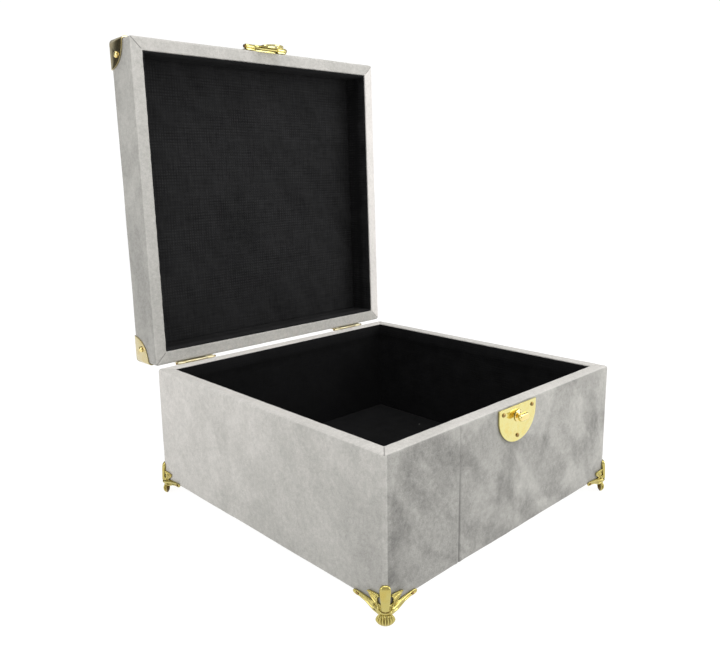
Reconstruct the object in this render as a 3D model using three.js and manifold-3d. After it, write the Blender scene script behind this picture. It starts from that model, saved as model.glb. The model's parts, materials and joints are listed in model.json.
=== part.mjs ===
// A velvet-covered jewellery box on cast corner feet, with its lid standing open.
// Millimetres, +Z up, +X right, the catch faces -Y. The origin is the middle of the bounding box's bottom.

import * as THREE from "three";
import { mergeVertices } from "three/addons/utils/BufferGeometryUtils.js";
import Module from "manifold-3d";

const wasm = await Module();
wasm.setup();

// ---------------------------------------------------------------- driving dimensions

// The covered box: boards under a velvet cover, with a padded lining inside.
const WIDTH = 300;
const DEPTH = 300;
const BASE_HEIGHT = 110;
const LID_HEIGHT = 38;
const RIM_WIDTH = 12;
const COVER = 1.5;
const COVER_LIP = 12;
const CORNER_RADIUS = 3;
const EDGE_RADIUS = 2;
const BASE_FLOOR = 6;
const LID_TOP = 5;
const LINING = 1.2;
const LINING_SET_DOWN = 0.8;
const GAP = 0.3;

// Feet: the height under the box, the leaf plates, and how far in from the box's faces the shell stands.
const FOOT_DROP = 14;
const FOOT_PLATE = 1.3;
const FOOT_SEAT = 13;
const FOOT_INSET = 2.1;

// The spine leans back against the corner: half widths, thickness share, heights and how far it stands out.
const SPINE = { topHalf: 4, bottomHalf: 2.8, thin: 0.5, bottom: -1.5, shoulder: 13, lean: 6.5, out: 0.4 };

// The half shell that stands on the floor. Its hollow back is smaller by the inner shares.
const SHELL = { along: 4.2, across: 6.3, up: 5.4, centre: 4.2, flutes: 12, flute: 0.07 };
const SHELL_INNER = { along: 0.6, across: 0.86, up: 0.7 };
const COLLAR = { topRadius: 5.4, bottomRadius: 3, thin: 0.9, top: -1.6, height: 4.2 };

// The edge of a face's arm and leaf, from the spine's foot out to the arm's tip and back to the spine, as
// curves [bend x, bend z, end x, end z] along the box's bottom edge and up its corner.
const LEAF_START = -2.4;
const LEAF_CURVES = [
  [4, -5.4, 9.6, -4.9],
  [13, -4.4, 17.7, -1.9],
  [22, -0.1, 28, -0.1],
  [32, 0.6, 28.8, 2.8],
  [23, 3.2, 17.7, 2.3],
  [12.5, 1.2, 10, 1.8],
  [14.4, 3.6, 15.8, 7.8],
  [11, 9.6, 4, 8.9],
];

// Lid hinges, and how far the lid is open.
const OPEN_ANGLE = 91.5;
const RIM_GAP = 0.6;
const HINGE_BACK = 1.5;
const HINGE_CENTRES = { left: -107, right: 97 };
const HINGE = {
  radius: 1.2,
  leaf: 0.9,
  height: 14,
  half: 20.5,
  lidKnuckle: 11.8,
  notch: 1.9,
  heelBack: 1.1,
  heelTop: -0.6,
  heelLap: 1.2,
  pin: 0.45,
  head: 1,
};
const PIN_HEAD = 1.3;
const PIN_CLEARANCE = 0.4;

// Catch plate and turn knob. The knob's distances run outwards from the front face.
const PLATE = 1.3;
const PLATE_HALF = 25;
const CATCH = { straight: 8, curve: 22, setDown: 1.2, pinX: 19.5, pinDown: 4.2, lowPinDown: 25.4 };
const KNOB_SET_DOWN = 10;
const KNOB_CLEARANCE = 0.5;
const KNOB = {
  flange: 3.6,
  flangeThickness: 2,
  shank: 2,
  boss: 5,
  bossThickness: 0.6,
  neck: 2.3,
  headInner: 4.8,
  headOuter: 8.6,
  headLength: 12.6,
  headHeight: 6.2,
  headEdge: 0.9,
};

// Hasp. Its axis stands out from the lid's front face and up from the lid's rim.
const HASP = {
  out: 3.6,
  up: 2.8,
  lift: 0.7,
  radius: 2.4,
  pin: 0.9,
  head: 1.6,
  straight: 7,
  curve: 14,
  window: 1.8,
  flapHalf: 14,
  tipHalf: 12,
  tipCurve: 9,
  shoulder: 3.4,
  waist: 7,
  reach: 20.8,
  slotHalf: 7.1,
  slotNear: 9.9,
  slotFar: 17.4,
  pinX: 15,
  pinUp: 13,
};
const HASP_RIB = { endInset: 2, front: 1.5, back: 2.9, bottom: 0.4 };

// Lid corner protectors, and how far their tacks stand in from both edges of a face.
const PROTECTOR = { reach: 25.5, thick: 1.1, tackInset: 13.5 };

// Fasteners: head radius, head height, shank radius and shank length.
const TACK = { head: 3, rise: 1.9, shank: 0.8, length: 6.5 };
const PLATE_PIN = { head: 1.7, rise: 0.9, shank: 0.7, length: 7 };
const LEAF_NAIL = { head: 1.5, rise: 0.7, shank: 0.7, length: 7 };
const DOME = [[0.87, 0.55], [0.5, 0.9]]; // shares of the head's radius and height, from its rim inwards
const LEAF_NAIL_X = 13;
const LEAF_NAIL_REACH = 9.5;
const HEAD_GAP = 0.2;

// How many sides, rows and steps the round parts are drawn with, and how far a cutter runs past what it cuts.
const BARREL_SIDES = 16;
const PIN_SIDES = 10;
const BORE_SIDES = 6;
const SHELL_SIDES = 24;
const PROTECTOR_SIDES = 32;
const BALL_ROWS = 8;
const PLATE_STEPS = 12;
const SLOT_STEPS = 8;
const KNOB_STEPS = 6;
const LEAF_STEPS = 4;
const EDGE_STEPS = 2;
const PAST = 1;

// ---------------------------------------------------------------- derived places

const OPEN = THREE.MathUtils.degToRad(OPEN_ANGLE);
const FORWARD = new THREE.Vector3(0, -1, 0);
const BACKWARD = new THREE.Vector3(0, 1, 0);
const UPWARD = new THREE.Vector3(0, 0, 1);
const FRONT = -DEPTH / 2;
const REAR = DEPTH / 2;
const BASE_TOP = FOOT_DROP + BASE_HEIGHT;
const WALL_OUTER = COVER + GAP;
const WALL_INNER = RIM_WIDTH - COVER - GAP;
const KNOB_Z = BASE_TOP - KNOB_SET_DOWN;
const LEAF_BACK = REAR + GAP + HINGE.leaf;

// The lid hinge's axis, and the closed lid's places measured from it.
const AXIS_Y = REAR + HINGE_BACK;
const AXIS_Z = BASE_TOP + RIM_GAP / 2;
const LID_RIM = RIM_GAP / 2;
const LID_CROWN = LID_RIM + LID_HEIGHT;
const LID_FRONT = FRONT - AXIS_Y;
const LID_MIDDLE = -AXIS_Y;
const LID_REAR = REAR - AXIS_Y;
const HASP_Y = LID_FRONT - HASP.out;
const HASP_Z = LID_RIM + HASP.up;

// ---------------------------------------------------------------- materials

const MATERIALS = {
  velvet: new THREE.MeshStandardMaterial({ color: 0xa8a49d, roughness: 0.95, metalness: 0 }),
  lining: new THREE.MeshStandardMaterial({ color: 0x141416, roughness: 0.9, metalness: 0 }),
  board: new THREE.MeshStandardMaterial({ color: 0xb08a5a, roughness: 0.8, metalness: 0 }),
  gilt: new THREE.MeshStandardMaterial({ color: 0xdcb95a, roughness: 0.22, metalness: 1 }),
};

// ---------------------------------------------------------------- geometry helpers

// A closed geometry as a solid that can be joined and cut.
function solid(geometry) {
  const bare = geometry.index ? geometry.toNonIndexed() : geometry.clone();
  bare.deleteAttribute("normal");
  bare.deleteAttribute("uv");
  const merged = mergeVertices(bare, 1e-4);
  const vertProperties = new Float32Array(merged.attributes.position.array);
  const triVerts = new Uint32Array(merged.index.array);
  return new wasm.Manifold(new wasm.Mesh({ numProp: 3, vertProperties, triVerts }));
}

// The named mesh of a solid.
function meshOf(name, body, material) {
  const { vertProperties, triVerts, numProp, numVert } = body.getMesh();
  const positions = new Float32Array(numVert * 3);
  for (let i = 0; i < numVert; i += 1) {
    positions.set(vertProperties.subarray(i * numProp, i * numProp + 3), i * 3);
  }
  const geometry = new THREE.BufferGeometry();
  geometry.setAttribute("position", new THREE.BufferAttribute(positions, 3));
  geometry.setIndex(new THREE.BufferAttribute(new Uint32Array(triVerts), 1));
  geometry.computeVertexNormals();
  const mesh = new THREE.Mesh(geometry, material);
  mesh.name = name;
  return mesh;
}

function union(...bodies) {
  return bodies.reduce((all, body) => all.add(body));
}

// A block between two corners.
function block(x0, x1, y0, y1, z0, z1) {
  const geometry = new THREE.BoxGeometry(x1 - x0, y1 - y0, z1 - z0);
  return geometry.translate((x0 + x1) / 2, (y0 + y1) / 2, (z0 + z1) / 2);
}

// A block centred on the box's upright axis, standing in from the box's faces by an inset.
function insetBlock(inset, z0, z1) {
  const x = WIDTH / 2 - inset;
  const y = DEPTH / 2 - inset;
  return block(-x, x, -y, y, z0, z1);
}

// The box's outer shape grown by an amount, with rounded upright corners and rounded edges.
function softBlock(grow, z0, z1) {
  const radius = CORNER_RADIUS + grow;
  const edge = EDGE_RADIUS + grow;
  const x = WIDTH / 2 + grow - edge;
  const y = DEPTH / 2 + grow - edge;
  const r = radius - edge;
  const outline = new THREE.Shape();
  outline.absarc(x - r, y - r, r, 0, Math.PI / 2, false);
  outline.absarc(r - x, y - r, r, Math.PI / 2, Math.PI, false);
  outline.absarc(r - x, r - y, r, Math.PI, Math.PI * 1.5, false);
  outline.absarc(x - r, r - y, r, Math.PI * 1.5, Math.PI * 2, false);
  const geometry = new THREE.ExtrudeGeometry(outline, {
    depth: z1 - z0 + 2 * grow - 2 * edge,
    bevelThickness: edge,
    bevelSize: edge,
    bevelSegments: EDGE_STEPS,
    curveSegments: EDGE_STEPS,
  });
  return geometry.translate(0, 0, z0 - grow + edge);
}

// A rod along X from x0 to x1.
function rodX(radius, x0, x1, y, z, sides = BARREL_SIDES) {
  const geometry = new THREE.CylinderGeometry(radius, radius, x1 - x0, sides);
  return geometry.rotateZ(Math.PI / 2).translate((x0 + x1) / 2, y, z);
}

// A flat outline in X and Z turned into a plate that fills y0 to y1.
function plateXZ(outline, y0, y1, curveSegments = PLATE_STEPS) {
  const options = { depth: y1 - y0, bevelEnabled: false, curveSegments };
  const geometry = new THREE.ExtrudeGeometry(outline, options);
  return geometry.rotateX(Math.PI / 2).translate(0, y1, 0);
}

// Turns a geometry drawn along +Z to point along a direction, and moves it to a place.
function aim(geometry, place, direction) {
  const turn = new THREE.Quaternion().setFromUnitVectors(new THREE.Vector3(0, 0, 1), direction);
  return geometry.applyQuaternion(turn).translate(place.x, place.y, place.z);
}

// ---------------------------------------------------------------- fasteners

// A domed nail drawn along +Z: the underside of its head lies at z = 0.
function nailGeometry({ head, rise, shank, length }) {
  const profile = [
    new THREE.Vector2(0, -length),
    new THREE.Vector2(shank, -length + shank),
    new THREE.Vector2(shank, 0),
    new THREE.Vector2(head, 0),
    ...DOME.map(([out, up]) => new THREE.Vector2(head * out, rise * up)),
    new THREE.Vector2(0, rise),
  ];
  return new THREE.LatheGeometry(profile, PIN_SIDES).rotateX(Math.PI / 2);
}

// Sets a nail into a face and drills the parts that it passes through.
function fasten(parts, name, kind, place, direction, standOff, through) {
  const seat = place.clone().addScaledVector(direction, standOff + HEAD_GAP);
  parts[name] = { body: solid(aim(nailGeometry(kind), seat, direction)), material: MATERIALS.gilt };
  const radius = kind.shank + PIN_CLEARANCE;
  const bore = new THREE.CylinderGeometry(radius, radius, 2 * (kind.length + PAST), BORE_SIDES);
  const cutter = solid(aim(bore.rotateX(Math.PI / 2), seat, direction));
  for (const part of through) {
    parts[part].body = parts[part].body.subtract(cutter);
  }
}

// ---------------------------------------------------------------- the covered trays

// One open tray of boards, cover and lining, drawn mouth up with its outer bottom at z = 0 and set into
// place by a matrix. Each entry is a solid.
function trayBodies(height, floor, matrix) {
  const set = (geometry) => solid(geometry.applyMatrix4(matrix));
  const ring = (outerInset, innerInset, z0, z1) =>
    set(insetBlock(outerInset, z0, z1)).subtract(set(insetBlock(innerInset, z0 - PAST, z1 + PAST)));
  const low = COVER + GAP;
  const high = height - COVER - GAP;
  const floorTop = low + floor;
  const lipBottom = height - COVER_LIP;
  const x = WIDTH / 2 - WALL_OUTER;
  const xInner = WIDTH / 2 - WALL_INNER;
  const y = DEPTH / 2 - WALL_OUTER;
  const yInner = DEPTH / 2 - WALL_INNER;
  const ySide = yInner - GAP;
  const liningInner = RIM_WIDTH + GAP + LINING;
  const liningTop = height - LINING_SET_DOWN;

  const cover = set(softBlock(0, 0, height))
    .subtract(set(insetBlock(COVER, COVER, height - COVER)))
    .subtract(set(insetBlock(RIM_WIDTH, height - COVER - PAST, height + PAST)))
    .add(ring(RIM_WIDTH - COVER, RIM_WIDTH, lipBottom, height - COVER / 2));
  const liningWalls = union(
    ring(RIM_WIDTH - COVER, liningInner, floorTop + GAP, lipBottom - GAP),
    ring(RIM_WIDTH + GAP, liningInner, lipBottom - GAP - PAST, liningTop),
  );
  return {
    nearBoard: set(block(-x, x, -y, -yInner, low, high)),
    farBoard: set(block(-x, x, yInner, y, low, high)),
    leftBoard: set(block(-x, -xInner, -ySide, ySide, low, high)),
    rightBoard: set(block(xInner, x, -ySide, ySide, low, high)),
    flatBoard: set(insetBlock(WALL_INNER + GAP, low, floorTop)),
    cover,
    liningWalls,
    liningPanel: set(insetBlock(liningInner + GAP, floorTop + GAP, floorTop + GAP + LINING)),
  };
}

// ---------------------------------------------------------------- feet

// The arm and leaf that lie on one face of the corner, in X along the bottom edge and Z up the corner.
function footLeafOutline() {
  const leaf = new THREE.Shape();
  leaf.moveTo(-PAST, LEAF_START);
  LEAF_CURVES.forEach((curve) => leaf.quadraticCurveTo(...curve));
  leaf.lineTo(-PAST, LEAF_CURVES.at(-1).at(-1));
  leaf.closePath();
  return leaf;
}

// A form drawn with X towards the middle of the box, turned to lie along the corner's diagonal.
function onDiagonal(geometry, inset) {
  return geometry.rotateZ(Math.PI / 4).translate(inset, inset, 0);
}

// The spine that covers the corner: wider and nearer the box at its round top.
function footSpine() {
  const { topHalf, bottomHalf, thin, bottom, shoulder, lean, out } = SPINE;
  const length = shoulder - bottom;
  const stem = new THREE.CylinderGeometry(topHalf, bottomHalf, length, BARREL_SIDES);
  stem.rotateX(Math.PI / 2).translate(0, 0, bottom + length / 2);
  const head = new THREE.SphereGeometry(topHalf, BARREL_SIDES, BALL_ROWS).rotateX(Math.PI / 2);
  head.translate(0, 0, shoulder);
  const back = THREE.MathUtils.degToRad(lean);
  return [stem, head].map((form) => onDiagonal(form.scale(thin, 1, 1).rotateY(back), -out));
}

// The fluted half shell: wider across the corner than along it, with a hollow back towards the box's middle.
function footShell() {
  const shell = new THREE.SphereGeometry(1, SHELL_SIDES, BALL_ROWS).rotateX(Math.PI / 2);
  const position = shell.attributes.position;
  const point = new THREE.Vector3();
  const nearAxis = 1e-6;
  for (let i = 0; i < position.count; i += 1) {
    point.fromBufferAttribute(position, i);
    if (point.x > nearAxis) {
      point.multiply(new THREE.Vector3(-SHELL_INNER.along, SHELL_INNER.across, SHELL_INNER.up));
    } else {
      const depth = SHELL.flute * (1 - point.z * point.z);
      const flute = 1 + depth * Math.cos(SHELL.flutes * Math.atan2(point.y, point.x));
      point.multiply(new THREE.Vector3(flute, flute, 1));
    }
    position.setXYZ(i, point.x * SHELL.along, point.y * SHELL.across, point.z * SHELL.up);
  }
  return onDiagonal(shell, FOOT_INSET).translate(0, 0, SHELL.centre - FOOT_DROP);
}

// The bowl-shaped collar that joins the spine, the arms and the shell.
function footCollar() {
  const { topRadius, bottomRadius, thin, top, height } = COLLAR;
  const collar = new THREE.CylinderGeometry(topRadius, bottomRadius, height, BARREL_SIDES);
  collar.rotateX(Math.PI / 2).scale(thin, 1, 1).translate(0, 0, top - height / 2);
  return onDiagonal(collar, FOOT_INSET);
}

// A foot, drawn for the front left corner and then turned about the box's upright axis by a matrix.
function footBody(matrix) {
  const low = -GAP - FOOT_PLATE;
  const outline = footLeafOutline();
  const frontLeaf = plateXZ(outline, low, PAST, LEAF_STEPS);
  const sideLeaf = plateXZ(outline, -PAST, -low, LEAF_STEPS).rotateZ(Math.PI / 2);
  const seat = block(low, FOOT_SEAT, low, FOOT_SEAT, low, -GAP);
  const belowFloor = block(-FOOT_SEAT, FOOT_SEAT, -FOOT_SEAT, FOOT_SEAT, -FOOT_DROP - SHELL.up, -FOOT_DROP);
  const set = (geometry) => solid(geometry.translate(-WIDTH / 2, -DEPTH / 2, 0).applyMatrix4(matrix));
  return union(set(frontLeaf), set(sideLeaf), ...footSpine().map(set), set(seat))
    .subtract(solid(softBlock(GAP, 0, BASE_HEIGHT).applyMatrix4(matrix)))
    .add(set(footCollar()))
    .add(set(footShell()))
    .subtract(set(belowFloor));
}

// ---------------------------------------------------------------- catch plate and turn knob

// A plate outline with a straight edge along z = 0, short straight sides and half an ellipse. `side` is -1
// for a plate that hangs below its straight edge and 1 for one that stands above it.
function halfOval(straight, curve, side) {
  const outline = new THREE.Shape();
  outline.moveTo(-PLATE_HALF, 0);
  outline.lineTo(PLATE_HALF, 0);
  outline.absellipse(0, side * straight, PLATE_HALF, curve, 0, side * Math.PI, side < 0);
  outline.closePath();
  return outline;
}

// A long hole or button with round ends, centred on the origin.
function stadium(halfLength, radius) {
  const outline = new THREE.Shape();
  outline.absarc(halfLength - radius, 0, radius, -Math.PI / 2, Math.PI / 2, false);
  outline.absarc(radius - halfLength, 0, radius, Math.PI / 2, Math.PI * 1.5, false);
  outline.closePath();
  return outline;
}

function catchPlate() {
  const plate = plateXZ(halfOval(CATCH.straight, CATCH.curve, -1), FRONT - GAP - PLATE, FRONT - GAP);
  return solid(plate.translate(0, 0, BASE_TOP - CATCH.setDown));
}

// The knob, drawn along +Z outwards from the covered face: a captive flange behind the board, a shank, a
// boss on the plate, a neck and a long head that lies across the box.
function turnKnob() {
  const boss = GAP + PLATE + GAP;
  const profile = [
    new THREE.Vector2(0, GAP - WALL_INNER),
    new THREE.Vector2(KNOB.flange, GAP - WALL_INNER),
    new THREE.Vector2(KNOB.flange, GAP - WALL_INNER + KNOB.flangeThickness),
    new THREE.Vector2(KNOB.shank, GAP - WALL_INNER + KNOB.flangeThickness),
    new THREE.Vector2(KNOB.shank, boss),
    new THREE.Vector2(KNOB.boss, boss),
    new THREE.Vector2(KNOB.boss - KNOB.bossThickness, boss + KNOB.bossThickness),
    new THREE.Vector2(KNOB.neck, boss + KNOB.bossThickness),
    new THREE.Vector2(KNOB.neck, KNOB.headInner + KNOB.headEdge),
    new THREE.Vector2(0, KNOB.headInner + KNOB.headEdge),
  ];
  const stem = new THREE.LatheGeometry(profile, BARREL_SIDES).rotateX(Math.PI / 2);
  const outline = stadium(KNOB.headLength / 2 - KNOB.headEdge, KNOB.headHeight / 2 - KNOB.headEdge);
  const head = new THREE.ExtrudeGeometry(outline, {
    depth: KNOB.headOuter - KNOB.headInner - 2 * KNOB.headEdge,
    bevelThickness: KNOB.headEdge,
    bevelSize: KNOB.headEdge,
    bevelSegments: EDGE_STEPS,
    curveSegments: KNOB_STEPS,
  });
  head.translate(0, 0, KNOB.headInner + KNOB.headEdge);
  const place = new THREE.Vector3(0, FRONT, KNOB_Z);
  return union(solid(aim(stem, place, FORWARD)), solid(aim(head, place, FORWARD)));
}

// Opens the shank's way through the parts in front of the flange, and the flange's pocket behind them.
function boreForKnob(parts) {
  const clear = KNOB.shank + KNOB_CLEARANCE;
  const way = new THREE.CylinderGeometry(clear, clear, 3 * WALL_INNER, BARREL_SIDES);
  const cutter = solid(way.translate(0, FRONT, KNOB_Z));
  for (const name of ["catch_plate", "base_velvet_cover", "base_front_panel"]) {
    parts[name].body = parts[name].body.subtract(cutter);
  }
  const wide = KNOB.flange + KNOB_CLEARANCE;
  const depth = KNOB.flangeThickness + 2 * GAP;
  const pocket = new THREE.CylinderGeometry(wide, wide, 2 * depth, BARREL_SIDES);
  pocket.translate(0, FRONT + WALL_INNER, KNOB_Z);
  parts.base_front_panel.body = parts.base_front_panel.body.subtract(solid(pocket));
}

// ---------------------------------------------------------------- hinge pins and their bores

// A cutter for a pin's bore through a barrel that reaches half its length to each side of a centre.
function pinBore(radius, centre, half, y, z) {
  return rodX(radius + PIN_CLEARANCE, centre - half - PAST, centre + half + PAST, y, z, PIN_SIDES);
}

// A hinge pin with a head at each end.
function headedPin(radius, head, half, centre, y, z) {
  const ends = half + GAP;
  const shank = ends + PIN_HEAD / 2;
  return union(
    solid(rodX(radius, centre - shank, centre + shank, y, z, PIN_SIDES)),
    solid(rodX(head, centre - ends - PIN_HEAD, centre - ends, y, z, PIN_SIDES)),
    solid(rodX(head, centre + ends, centre + ends + PIN_HEAD, y, z, PIN_SIDES)),
  );
}

// ---------------------------------------------------------------- lid hinges

// The leaf on the base, which carries the two end knuckles.
function baseLeaf(centre) {
  const inner = HINGE.lidKnuckle + GAP;
  const bottom = AXIS_Z - HINGE.height;
  const plate = block(centre - HINGE.half, centre + HINGE.half, REAR + GAP, LEAF_BACK, bottom, AXIS_Z);
  const notch = block(centre - inner, centre + inner, REAR, AXIS_Y, AXIS_Z - HINGE.notch, AXIS_Z + PAST);
  const bore = pinBore(HINGE.pin, centre, HINGE.half, AXIS_Y, AXIS_Z);
  return solid(plate)
    .subtract(solid(notch))
    .add(solid(rodX(HINGE.radius, centre - HINGE.half, centre - inner, AXIS_Y, AXIS_Z)))
    .add(solid(rodX(HINGE.radius, centre + inner, centre + HINGE.half, AXIS_Y, AXIS_Z)))
    .subtract(solid(bore));
}

// The leaf on the lid, which carries the middle knuckle. Its heel meets the base leaf when the lid is open.
// Drawn with the lid closed and the hinge axis at the origin.
function lidLeaf(centre) {
  const front = REAR + GAP - AXIS_Y;
  const back = LEAF_BACK - AXIS_Y;
  const half = HINGE.lidKnuckle;
  const plate = block(centre - HINGE.half, centre + HINGE.half, front, back, HINGE.notch, HINGE.height);
  const tongue = block(centre - half, centre + half, front, back, 0, HINGE.notch + PAST);
  const heelBottom = -HINGE.notch - HINGE.heelLap;
  const heel = block(centre - half, centre + half, back + GAP, HINGE.heelBack, heelBottom, HINGE.heelTop);
  const bore = pinBore(HINGE.pin, centre, half, 0, 0);
  return union(
    solid(plate),
    solid(tongue),
    solid(rodX(HINGE.radius, centre - half, centre + half, 0, 0)),
    solid(heel.rotateX(OPEN)),
  ).subtract(solid(bore));
}

// ---------------------------------------------------------------- hasp

// The plate on the lid's front, with a window for the flap's knuckle. Drawn with the lid closed.
function haspPlate() {
  const plate = plateXZ(halfOval(HASP.straight, HASP.curve, 1), LID_FRONT - GAP - PLATE, LID_FRONT - GAP);
  plate.translate(0, 0, LID_RIM + HASP.lift);
  const inner = HASP.flapHalf + GAP;
  const window = block(-inner, inner, HASP_Y, LID_FRONT, LID_RIM - PAST, HASP_Z + HASP.window);
  const bore = pinBore(HASP.pin, 0, PLATE_HALF, HASP_Y, HASP_Z);
  return solid(plate)
    .subtract(solid(window))
    .add(solid(rodX(HASP.radius, -PLATE_HALF, -inner, HASP_Y, HASP_Z)))
    .add(solid(rodX(HASP.radius, inner, PLATE_HALF, HASP_Y, HASP_Z)))
    .subtract(solid(bore));
}

// The slotted flap. A rib behind its knuckle meets the window's upper edge, which stops it in line with the
// lid.
function haspFlap() {
  const { flapHalf: root, tipHalf: tip, reach, tipCurve, shoulder, waist } = HASP;
  const outline = new THREE.Shape();
  outline.moveTo(-root, 0);
  outline.lineTo(root, 0);
  outline.lineTo(root, -shoulder);
  outline.quadraticCurveTo(tip, -shoulder, tip, -waist);
  outline.absellipse(0, tipCurve - reach, tip, tipCurve, 0, -Math.PI, true);
  outline.lineTo(-tip, -waist);
  outline.quadraticCurveTo(-tip, -shoulder, -root, -shoulder);
  outline.closePath();
  const slotRadius = (HASP.slotFar - HASP.slotNear) / 2;
  const slot = plateXZ(stadium(HASP.slotHalf, slotRadius), -PLATE, PLATE, SLOT_STEPS);
  slot.translate(0, HASP_Y, HASP_Z - HASP.slotNear - slotRadius);
  const plate = plateXZ(outline, HASP_Y - PLATE / 2, HASP_Y + PLATE / 2).translate(0, 0, HASP_Z);
  const ribHalf = root - HASP_RIB.endInset;
  const ribTop = HASP_Z + HASP.window - GAP;
  const ribFront = HASP_Y + HASP_RIB.front;
  const rib = block(-ribHalf, ribHalf, ribFront, HASP_Y + HASP_RIB.back, HASP_Z + HASP_RIB.bottom, ribTop);
  const bore = pinBore(HASP.pin, 0, root, HASP_Y, HASP_Z);
  return union(solid(plate), solid(rodX(HASP.radius, -root, root, HASP_Y, HASP_Z)), solid(rib))
    .subtract(solid(slot))
    .subtract(solid(bore));
}

// ---------------------------------------------------------------- lid corner protectors

// A thin shell on the three faces that meet at one upper corner, bounded by a sphere about that corner.
function protectorBody(sideX, sideY) {
  const outer = softBlock(GAP + PROTECTOR.thick, LID_RIM, LID_CROWN).translate(0, LID_MIDDLE, 0);
  const inner = softBlock(GAP, LID_RIM, LID_CROWN).translate(0, LID_MIDDLE, 0);
  const ball = new THREE.SphereGeometry(PROTECTOR.reach, PROTECTOR_SIDES, PROTECTOR_SIDES / 2);
  ball.rotateX(Math.PI / 2);
  ball.translate((sideX * WIDTH) / 2, LID_MIDDLE + (sideY * DEPTH) / 2, LID_CROWN);
  return solid(outer).intersect(solid(ball)).subtract(solid(inner));
}

// ---------------------------------------------------------------- assembly

// The parts of each moving group, by node name. Solids are drilled here before they become meshes.
const base = {};
const lid = {};

function put(parts, name, body, material) {
  parts[name] = { body, material };
}

function addTray(parts, prefix, boards, bodies) {
  for (const [board, body] of Object.entries(boards)) {
    put(parts, `${prefix}_${board}_panel`, body, MATERIALS.board);
  }
  put(parts, `${prefix}_velvet_cover`, bodies.cover, MATERIALS.velvet);
  put(parts, `${prefix}_lining_walls`, bodies.liningWalls, MATERIALS.lining);
  put(parts, `${prefix}_lining_panel`, bodies.liningPanel, MATERIALS.lining);
}

function addBaseTray() {
  const matrix = new THREE.Matrix4().makeTranslation(0, 0, FOOT_DROP);
  const bodies = trayBodies(BASE_HEIGHT, BASE_FLOOR, matrix);
  const boards = {
    front: bodies.nearBoard,
    rear: bodies.farBoard,
    left: bodies.leftBoard,
    right: bodies.rightBoard,
    bottom: bodies.flatBoard,
  };
  addTray(base, "base", boards, bodies);
}

// The lid's tray is turned over, so the board that was drawn nearest becomes the rear one.
function addLidTray() {
  const matrix = new THREE.Matrix4().makeRotationX(Math.PI);
  matrix.premultiply(new THREE.Matrix4().makeTranslation(0, LID_MIDDLE, LID_CROWN));
  const bodies = trayBodies(LID_HEIGHT, LID_TOP, matrix);
  const boards = {
    front: bodies.farBoard,
    rear: bodies.nearBoard,
    left: bodies.leftBoard,
    right: bodies.rightBoard,
    top: bodies.flatBoard,
  };
  addTray(lid, "lid", boards, bodies);
}

function addFeet() {
  const corners = ["front_left", "front_right", "rear_right", "rear_left"];
  corners.forEach((corner, quarter) => {
    const matrix = new THREE.Matrix4().makeRotationZ((quarter * Math.PI) / 2);
    matrix.premultiply(new THREE.Matrix4().makeTranslation(0, 0, FOOT_DROP));
    put(base, `foot_${corner}`, footBody(matrix), MATERIALS.gilt);
  });
}

function addCatch() {
  put(base, "catch_plate", catchPlate(), MATERIALS.gilt);
  boreForKnob(base);
  const top = BASE_TOP - CATCH.setDown;
  const pins = {
    left: new THREE.Vector3(-CATCH.pinX, FRONT, top - CATCH.pinDown),
    right: new THREE.Vector3(CATCH.pinX, FRONT, top - CATCH.pinDown),
    lower: new THREE.Vector3(0, FRONT, top - CATCH.lowPinDown),
  };
  const through = ["catch_plate", "base_velvet_cover", "base_front_panel"];
  for (const [side, place] of Object.entries(pins)) {
    fasten(base, `catch_pin_${side}`, PLATE_PIN, place, FORWARD, GAP + PLATE, through);
  }
}

function addHinges() {
  const standOff = GAP + HINGE.leaf;
  for (const [side, centre] of Object.entries(HINGE_CENTRES)) {
    const baseName = `hinge_${side}_base_leaf`;
    const lidName = `hinge_${side}_lid_leaf`;
    put(base, baseName, baseLeaf(centre), MATERIALS.gilt);
    put(lid, lidName, lidLeaf(centre), MATERIALS.gilt);
    const pin = headedPin(HINGE.pin, HINGE.head, HINGE.half, centre, AXIS_Y, AXIS_Z);
    put(base, `hinge_${side}_pin`, pin, MATERIALS.gilt);
    for (const [end, step] of [["outer", Math.sign(centre)], ["inner", -Math.sign(centre)]]) {
      const x = centre + step * LEAF_NAIL_X;
      const low = new THREE.Vector3(x, REAR, AXIS_Z - LEAF_NAIL_REACH);
      const high = new THREE.Vector3(x, LID_REAR, LEAF_NAIL_REACH);
      const baseThrough = [baseName, "base_velvet_cover", "base_rear_panel"];
      const lidThrough = [lidName, "lid_velvet_cover", "lid_rear_panel"];
      fasten(base, `hinge_${side}_base_nail_${end}`, LEAF_NAIL, low, BACKWARD, standOff, baseThrough);
      fasten(lid, `hinge_${side}_lid_nail_${end}`, LEAF_NAIL, high, BACKWARD, standOff, lidThrough);
    }
  }
}

function addHaspPlate() {
  put(lid, "hasp_plate", haspPlate(), MATERIALS.gilt);
  put(lid, "hasp_hinge_pin", headedPin(HASP.pin, HASP.head, PLATE_HALF, 0, HASP_Y, HASP_Z), MATERIALS.gilt);
  const through = ["hasp_plate", "lid_velvet_cover", "lid_front_panel"];
  for (const [side, step] of [["left", -1], ["right", 1]]) {
    const place = new THREE.Vector3(step * HASP.pinX, LID_FRONT, LID_RIM + HASP.pinUp);
    fasten(lid, `hasp_plate_pin_${side}`, PLATE_PIN, place, FORWARD, GAP + PLATE, through);
  }
}

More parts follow.
